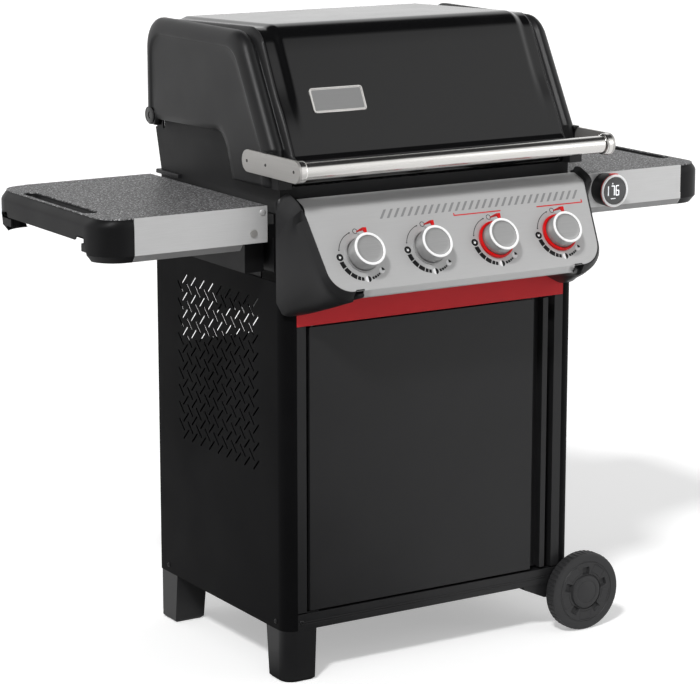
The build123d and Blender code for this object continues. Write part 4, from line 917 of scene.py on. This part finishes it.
def table_end(side, name):
    """A moulded table end: a soft top edge, a flared foot, and a raised bottom between the tool hooks."""
    rows = []
    profile = [(7, 17, -2.3), (4.2, 13.8, -2.3), (3.7, 12.6, -2.7), (1.4, 6, -8.6), (0.5, 1.8, -12.2),
               (0, 0.3, -15.4), (0, 0, -19), (0, 0, -38)]
    for inset, side_inset, height in profile:
        rows.append([(side * x, d, TABLE_TOP + height) for x, d in cap_plan(inset, side_inset)])
    outer, inner = cap_plan(0, 0), cap_plan(10, 10)

    def wall_row(share, flare, back):
        """A row down the wall (share), then along the flared foot (flare), then back up inside it."""
        row = []
        for k, (x, d) in enumerate(outer):
            raised = between(d, 88, 448, 1.4)
            notch = between(d, 93, 124, 1.2) + between(d, 405, 436, 1.2)
            bottom = -65 + 20.5 * raised + 9 * notch
            foot = (1 - raised) * flare
            reach = (np.array(inner[k]) - outer[k]) / 10 * (10 * foot + back)
            height = -38 + (bottom + 38) * share - 12.4 * foot + 1.5 * (back > 0)
            row.append((side * (x + reach[0]), d + reach[1], TABLE_TOP + height))
        return row

    for share, flare, back in ((0.5, 0, 0), (1, 0, 0), (1, 0.5, 0), (1, 1, 0), (1, 1, 2.6)):
        rows.append(wall_row(share, flare, back))
    sheet(f"{name}_wall", rows, TABLE_BODY[side], "end_black", sharp=32, replaces=[name])


def slot_tray(side, name):
    """The long recess under the slot in a table's top."""
    middle = (TABLE_FRONT + TABLE_REAR) / 2
    rows = []
    for half, height in ((19, -2.4), (14.2, -2.4), (14, -3.2), (13.6, -7), (12.8, -8), (8, -8.2)):
        outline = circle(half, 20, -math.pi / 2, math.pi / 2, (0, SLOT_REACH))
        outline += circle(half, 20, math.pi / 2, 1.5 * math.pi, (0, -SLOT_REACH))
        centre = TABLE_END - SLOT_FROM_END
        rows.append([(side * (centre + a), middle + b, TABLE_TOP + height) for a, b in outline])
    sheet(f"{name}_slot", rows, TABLE_BODY[side], "end_black", wrap_columns=True, filled=[len(rows) - 1])


def tool_hooks(side, name):
    """Two tool hooks under a table's outer side: a flat tongue that hangs from a stem inside the wall."""
    corners = []
    for low, high in ((92, 121), (407, 444)):
        corners.append(((TABLE_END - 14, low, 813.5), (TABLE_END - 8, high, 828)))
        corners.append(((TABLE_END - 24, low - 3, 813.5), (TABLE_END - 14, high + 3, 850)))
    blocks(f"{name}_hooks", side, corners, TABLE_BODY[side], "end_black", bevel=1.0)


def fascia_rivets():
    """Round heads of the rivet and of the pivot on the left fascia's inner end."""
    head = [(0, 2.1), (2.5, 1.95), (4.4, 1.5), (5.7, 0.7), (6.2, 0), (0, 0)]
    spots = [frame_map((x, TABLE_FRONT, h), RIGHT, UP, -BACK) for x, h in ((-339.8, 866.5), (-358.3, 831.0))]
    heads = gather([revolve_points(head, spot, 36) for spot in spots])
    build("fascia_rivets", *heads, "left_table", "panel_silver", slot="bright_steel")


SEGMENTS = {"1": "bc", "7": "abc", "6": "afgedc"}


def digit(character, left, low, width, height, stroke):
    """Outlines of a seven-segment digit."""
    half, middle, right, high = stroke / 2, low + height / 2, left + width, low + height
    boxes = {
        "a": (left, high - half, right, high + half),
        "b": (right - half, middle, right + half, high),
        "c": (right - half, low, right + half, middle),
        "d": (left, low - half, right, low + half),
        "e": (left - half, low, left + half, middle),
        "f": (left - half, middle, left + half, high),
        "g": (left, middle - half, right, middle + half),
    }
    return [[(a, b), (c, b), (c, d), (a, d)] for a, b, c, d in (boxes[k] for k in SEGMENTS[character])]


def display():
    """Round thermometer display: black barrel, thin red ring, white bezel, dark screen with lit digits."""
    put = frame_map((407.0, TABLE_FRONT - 6, 847.4), RIGHT, UP, -BACK)
    top = 28.5
    barrel = [(0, -5), (30, -6), (31, 4), (31.5, 14), (31.5, 20), (31.1, 25.6), (26.5, 25.6), (26.5, 22),
              (0, 22)]
    turned("display_barrel", barrel, put, "root", "end_black", replaces=["display_housing"])
    red = [(26.5, 25.6), (31.2, 25.6), (31.4, 26.2), (31.2, 27.2), (26.5, 27.2)]
    turned("display_red_ring", red, put, "root", "knob_red")
    white = [(26.4, 27.2), (30.9, 27.2), (31, 28.6), (30.4, 29.6), (29, 30), (27.4, 29.8), (26.4, 28.8)]
    turned("display_bezel", white, put, "root", "white_ring")
    screen = [(0, top), (20, top), (26.2, top - 0.4), (26.4, 27), (0, 27)]
    turned("display_glass", screen, put, "root", "screen_glass", replaces=["display_screen"])
    tab = prism(ring_sector(30.6, 32.6, -0.26, 0.26, 14), put, 18.5, 27.4)
    build("display_tab", *tab, "root", "knob_red", bevel=0.3)
    signs = []
    for character, x in (("1", -21.5), ("7", -7.5), ("6", 3.0)):
        signs += digit(character, x, -8.5, 6.4, 18, 2.1)
    signs += [circle(1.1, 14, centre=(2.9 * k - 8, -14.6)) for k in range(4)]
    signs += [circle(1.4, 14, centre=(-5.0, 14.0))]
    flat_marks("display_digits", signs, put, "screen_sign", low=top - 0.1, high=top + 0.15)


for side, name in SIDES:
    for make in (table_end, slot_tray, tool_hooks):
        make(side, f"{name}_table_end")
fascia_rivets()
display()

# ---------- wheels and screws

WHEEL_CENTRE = (335.3, 76.7)
WHEEL_RADIUS = 76.7
WHEEL_POCKETS = 5
WHEEL_LUGS = 50


def wheel_relief(radius, angle):
    """Depth of the wheel's outer face below its highest plane, in millimetres."""
    turn = math.tau / WHEEL_POCKETS
    off = abs((angle + turn / 2) % turn - turn / 2)
    tyre_edge = 1.3 * smoothstep(radius, 71, 76)
    tyre_groove = 0.9 * (smoothstep(radius, 57.4, 58.2) - smoothstep(radius, 59.6, 60.4))
    pocket = smoothstep(radius, 35.5, 36.3) * (1 - smoothstep(radius, 47.3, 49.5))
    pocket *= 1 - smoothstep(off * radius, 6.6, 7.6)
    across = (turn / 2 - off) * radius
    plate = smoothstep(radius, 38, 38.6) * (1 - smoothstep(radius, 55.4, 56))
    at_end = across < 13.5 and (abs(radius - 38.8) < 0.5 or abs(radius - 55.2) < 0.5)
    plate_line = max(1 - smoothstep(abs(across - 13.5), 0.3, 1.0), at_end)
    hub_groove = 1.6 * (smoothstep(radius, 32.2, 32.8) - smoothstep(radius, 34.4, 35.2))
    return tyre_edge + tyre_groove + 5.0 * pocket + 0.7 * plate * plate_line + hub_groove


def wheel(name, face_depth, way):
    """A plastic wheel: relief on its face, ribbed tread, a solid hub with a plain cap."""
    put = frame_map((WHEEL_CENTRE[0], face_depth, WHEEL_CENTRE[1]), way * RIGHT, UP, -way * BACK)
    steps = 6 * WHEEL_LUGS
    radii = [32.0, 32.8, 34.4, 35.2, 36.3, 38.2, 38.6, 39.1, 39.6, 43, 46.5, 47.3, 48.4, 49.5, 52, 54.7]
    radii += [55.2, 55.7, 56.4, 57.4, 58.2, 59.6, 60.4, 64, 68, 71, 73, 75]
    rows = []
    for k in range(steps):
        angle = math.tau * k / steps
        row = [(r, -wheel_relief(r, angle)) for r in radii]
        lug = k % 6 < 3
        row += [(WHEEL_RADIUS - 1.2 + 0.3 * lug, -3.0)]
        row += [(WHEEL_RADIUS - 1.5 + 1.5 * lug, d) for d in (-5.2, -14.0, -22.8)]
        row += [(WHEEL_RADIUS - 1.2, -25), (74, -27.2), (70, -28), (57, -28)]
        row += [(56, -11), (15, -11), (14, -28), (8, -28)]
        rows.append([put(r * math.sin(angle), r * math.cos(angle), c) for r, c in row])
    sheet(f"{name}_tyre", rows, name, "tyre_black", wrap_rows=True, sharp=30, replaces=[name])
    cap = [(0, 3.0), (20, 3.0), (21, 2.4), (22.4, 2.4), (23.4, 3.1), (29, 2.9), (31.2, 2.0), (32, 0.4)]
    cap += [(32, -2.6), (0, -2.6)]
    turned(f"{name}_cap", cap, put, name, "tyre_black", 120, replaces=[name.replace("wheel", "hub_cap")])


def screws():
    """Pan-head screws with a round recess, in the base rail."""
    head = [(1.2, 1.3), (2.4, 1.95), (3.6, 1.6), (4.5, 0.5), (4.5, 0), (0, 0), (0, 0.4), (1.1, 0.5)]
    half, height = 317.8, 112
    spots = [((x, 0, height), -BACK, RIGHT) for x in (-282.7, 282.7)]
    spots += [((side * half, d, height), side * RIGHT, BACK) for side in (-1, 1) for d in (34, 447)]
    heads = [revolve_points(head, frame_map(spot, across, UP, out), 28) for spot, out, across in spots]
    build("screw_heads", *gather(heads), "root", "casting_black", slot="cabinet_black",
          replaces=["cabinet_screws"])


wheel("front_wheel", box_mm("front_wheel")[0][1], 1)
wheel("rear_wheel", box_mm("rear_wheel")[1][1], -1)
screws()

# ---------- studio

DARK_WAY = (-0.53, -0.848, 0)


def ray_share(shader, *kinds):
    """1 for the rays of some kinds, 0 for the rest."""
    path = shader.node("ShaderNodeLightPath").outputs
    total = path[kinds[0]]
    for kind in kinds[1:]:
        total = shader.node("ShaderNodeMath", {0: total, 1: path[kind]}, operation="MAXIMUM").outputs[0]
    return total


def dark_sector(shader):
    """1 towards the studio's dark front left side, 0 elsewhere, whatever the height."""
    flat = shader.node("ShaderNodeVectorMath", {0: shader.coords, 1: (1, 1, 0)}, operation="MULTIPLY")
    unit = shader.node("ShaderNodeVectorMath", {0: flat.outputs[0]}, operation="NORMALIZE")
    share = shader.node("ShaderNodeVectorMath", {0: unit.outputs[0], 1: DARK_WAY}, operation="DOT_PRODUCT")
    return shader.ranged(share.outputs["Value"], 0, 1, 0.5, 0.82)


def studio_floor():
    """A large plain pale floor, whiter to the camera, and darker in reflections of the front left."""
    mesh = bpy.data.meshes.new("floor")
    reach = 30.0
    corners = [(-reach, -reach, 0), (reach, -reach, 0), (reach, reach, 0), (-reach, reach, 0)]
    mesh.from_pydata(corners, [], [(0, 1, 2, 3)])
    floor = place("floor", mesh)
    s = Shader("studio_floor")
    grain = s.noise(40, 3)
    seen = s.mix(s.ranged(grain, 0, 1), [0.835] * 3, [0.845] * 3)
    mirrored = s.mix(dark_sector(s), [1.0] * 3, [0.05] * 3)
    plain = s.mix(ray_share(s, "Is Glossy Ray"), [0.82] * 3, mirrored)
    direct = ray_share(s, "Is Camera Ray", "Is Transmission Ray")
    s.set(base_color=s.mix(direct, plain, seen), emission_strength=s.ranged(direct, 0, 0.36, 0, 1),
          emission_color=(1, 1, 1), roughness=1.0, specular_ior_level=0.0)
    floor.data.materials.append(s.material)


def studio_world():
    """White for the camera, a studio with a dark top and front left for reflections, and a soft fill."""
    s = Shader("studio", world=True)
    bpy.context.scene.world = s.material
    height = s.node("ShaderNodeSeparateXYZ", {0: s.coords}).outputs[2]
    around = s.mix(dark_sector(s), [1.0] * 3, [0.03] * 3)
    mirrored = s.mix(s.ranged(height, 0, 1, 0.62, 0.74), around, [0.03] * 3)
    plain = s.mix(ray_share(s, "Is Glossy Ray"), [0.5] * 3, mirrored)
    s.set(color=s.mix(ray_share(s, "Is Camera Ray", "Is Transmission Ray"), plain, [1.0] * 3))


def lamp(name, kind, origin, target, energy, **values):
    """A light that shines from its origin to a target."""
    light = bpy.data.lights.new(name, kind)
    light.energy = energy
    for key, value in values.items():
        setattr(light, key, value)
    obj = place(name, light)
    obj.location = origin
    obj.rotation_euler = (Vector(target) - Vector(origin)).to_track_quat("-Z", "Y").to_euler()


def studio_camera():
    data = bpy.data.cameras.new("camera")
    data.sensor_width = 36
    data.lens = 137.79
    data.shift_x = -0.0022
    data.shift_y = 0.0069
    data.clip_end = 200
    camera = place("camera", data)
    camera.location = (-2.6521, -4.1843, 1.6403)
    camera.rotation_euler = (math.radians(90 - 12.336), 0, math.radians(-31.793))
    bpy.context.scene.camera = camera


studio_floor()
studio_world()
lamp("key", "SUN", (-0.712, -0.62, 1), (0, 0, 0), 1.9, angle=math.radians(7))
lamp("right_box", "AREA", (5.5, -5.0, 2.6), (0, 0, 0.7), 45, shape="RECTANGLE", size=3.0, size_y=3.6)
studio_camera()
bpy.context.scene.view_settings.view_transform = "Standard"
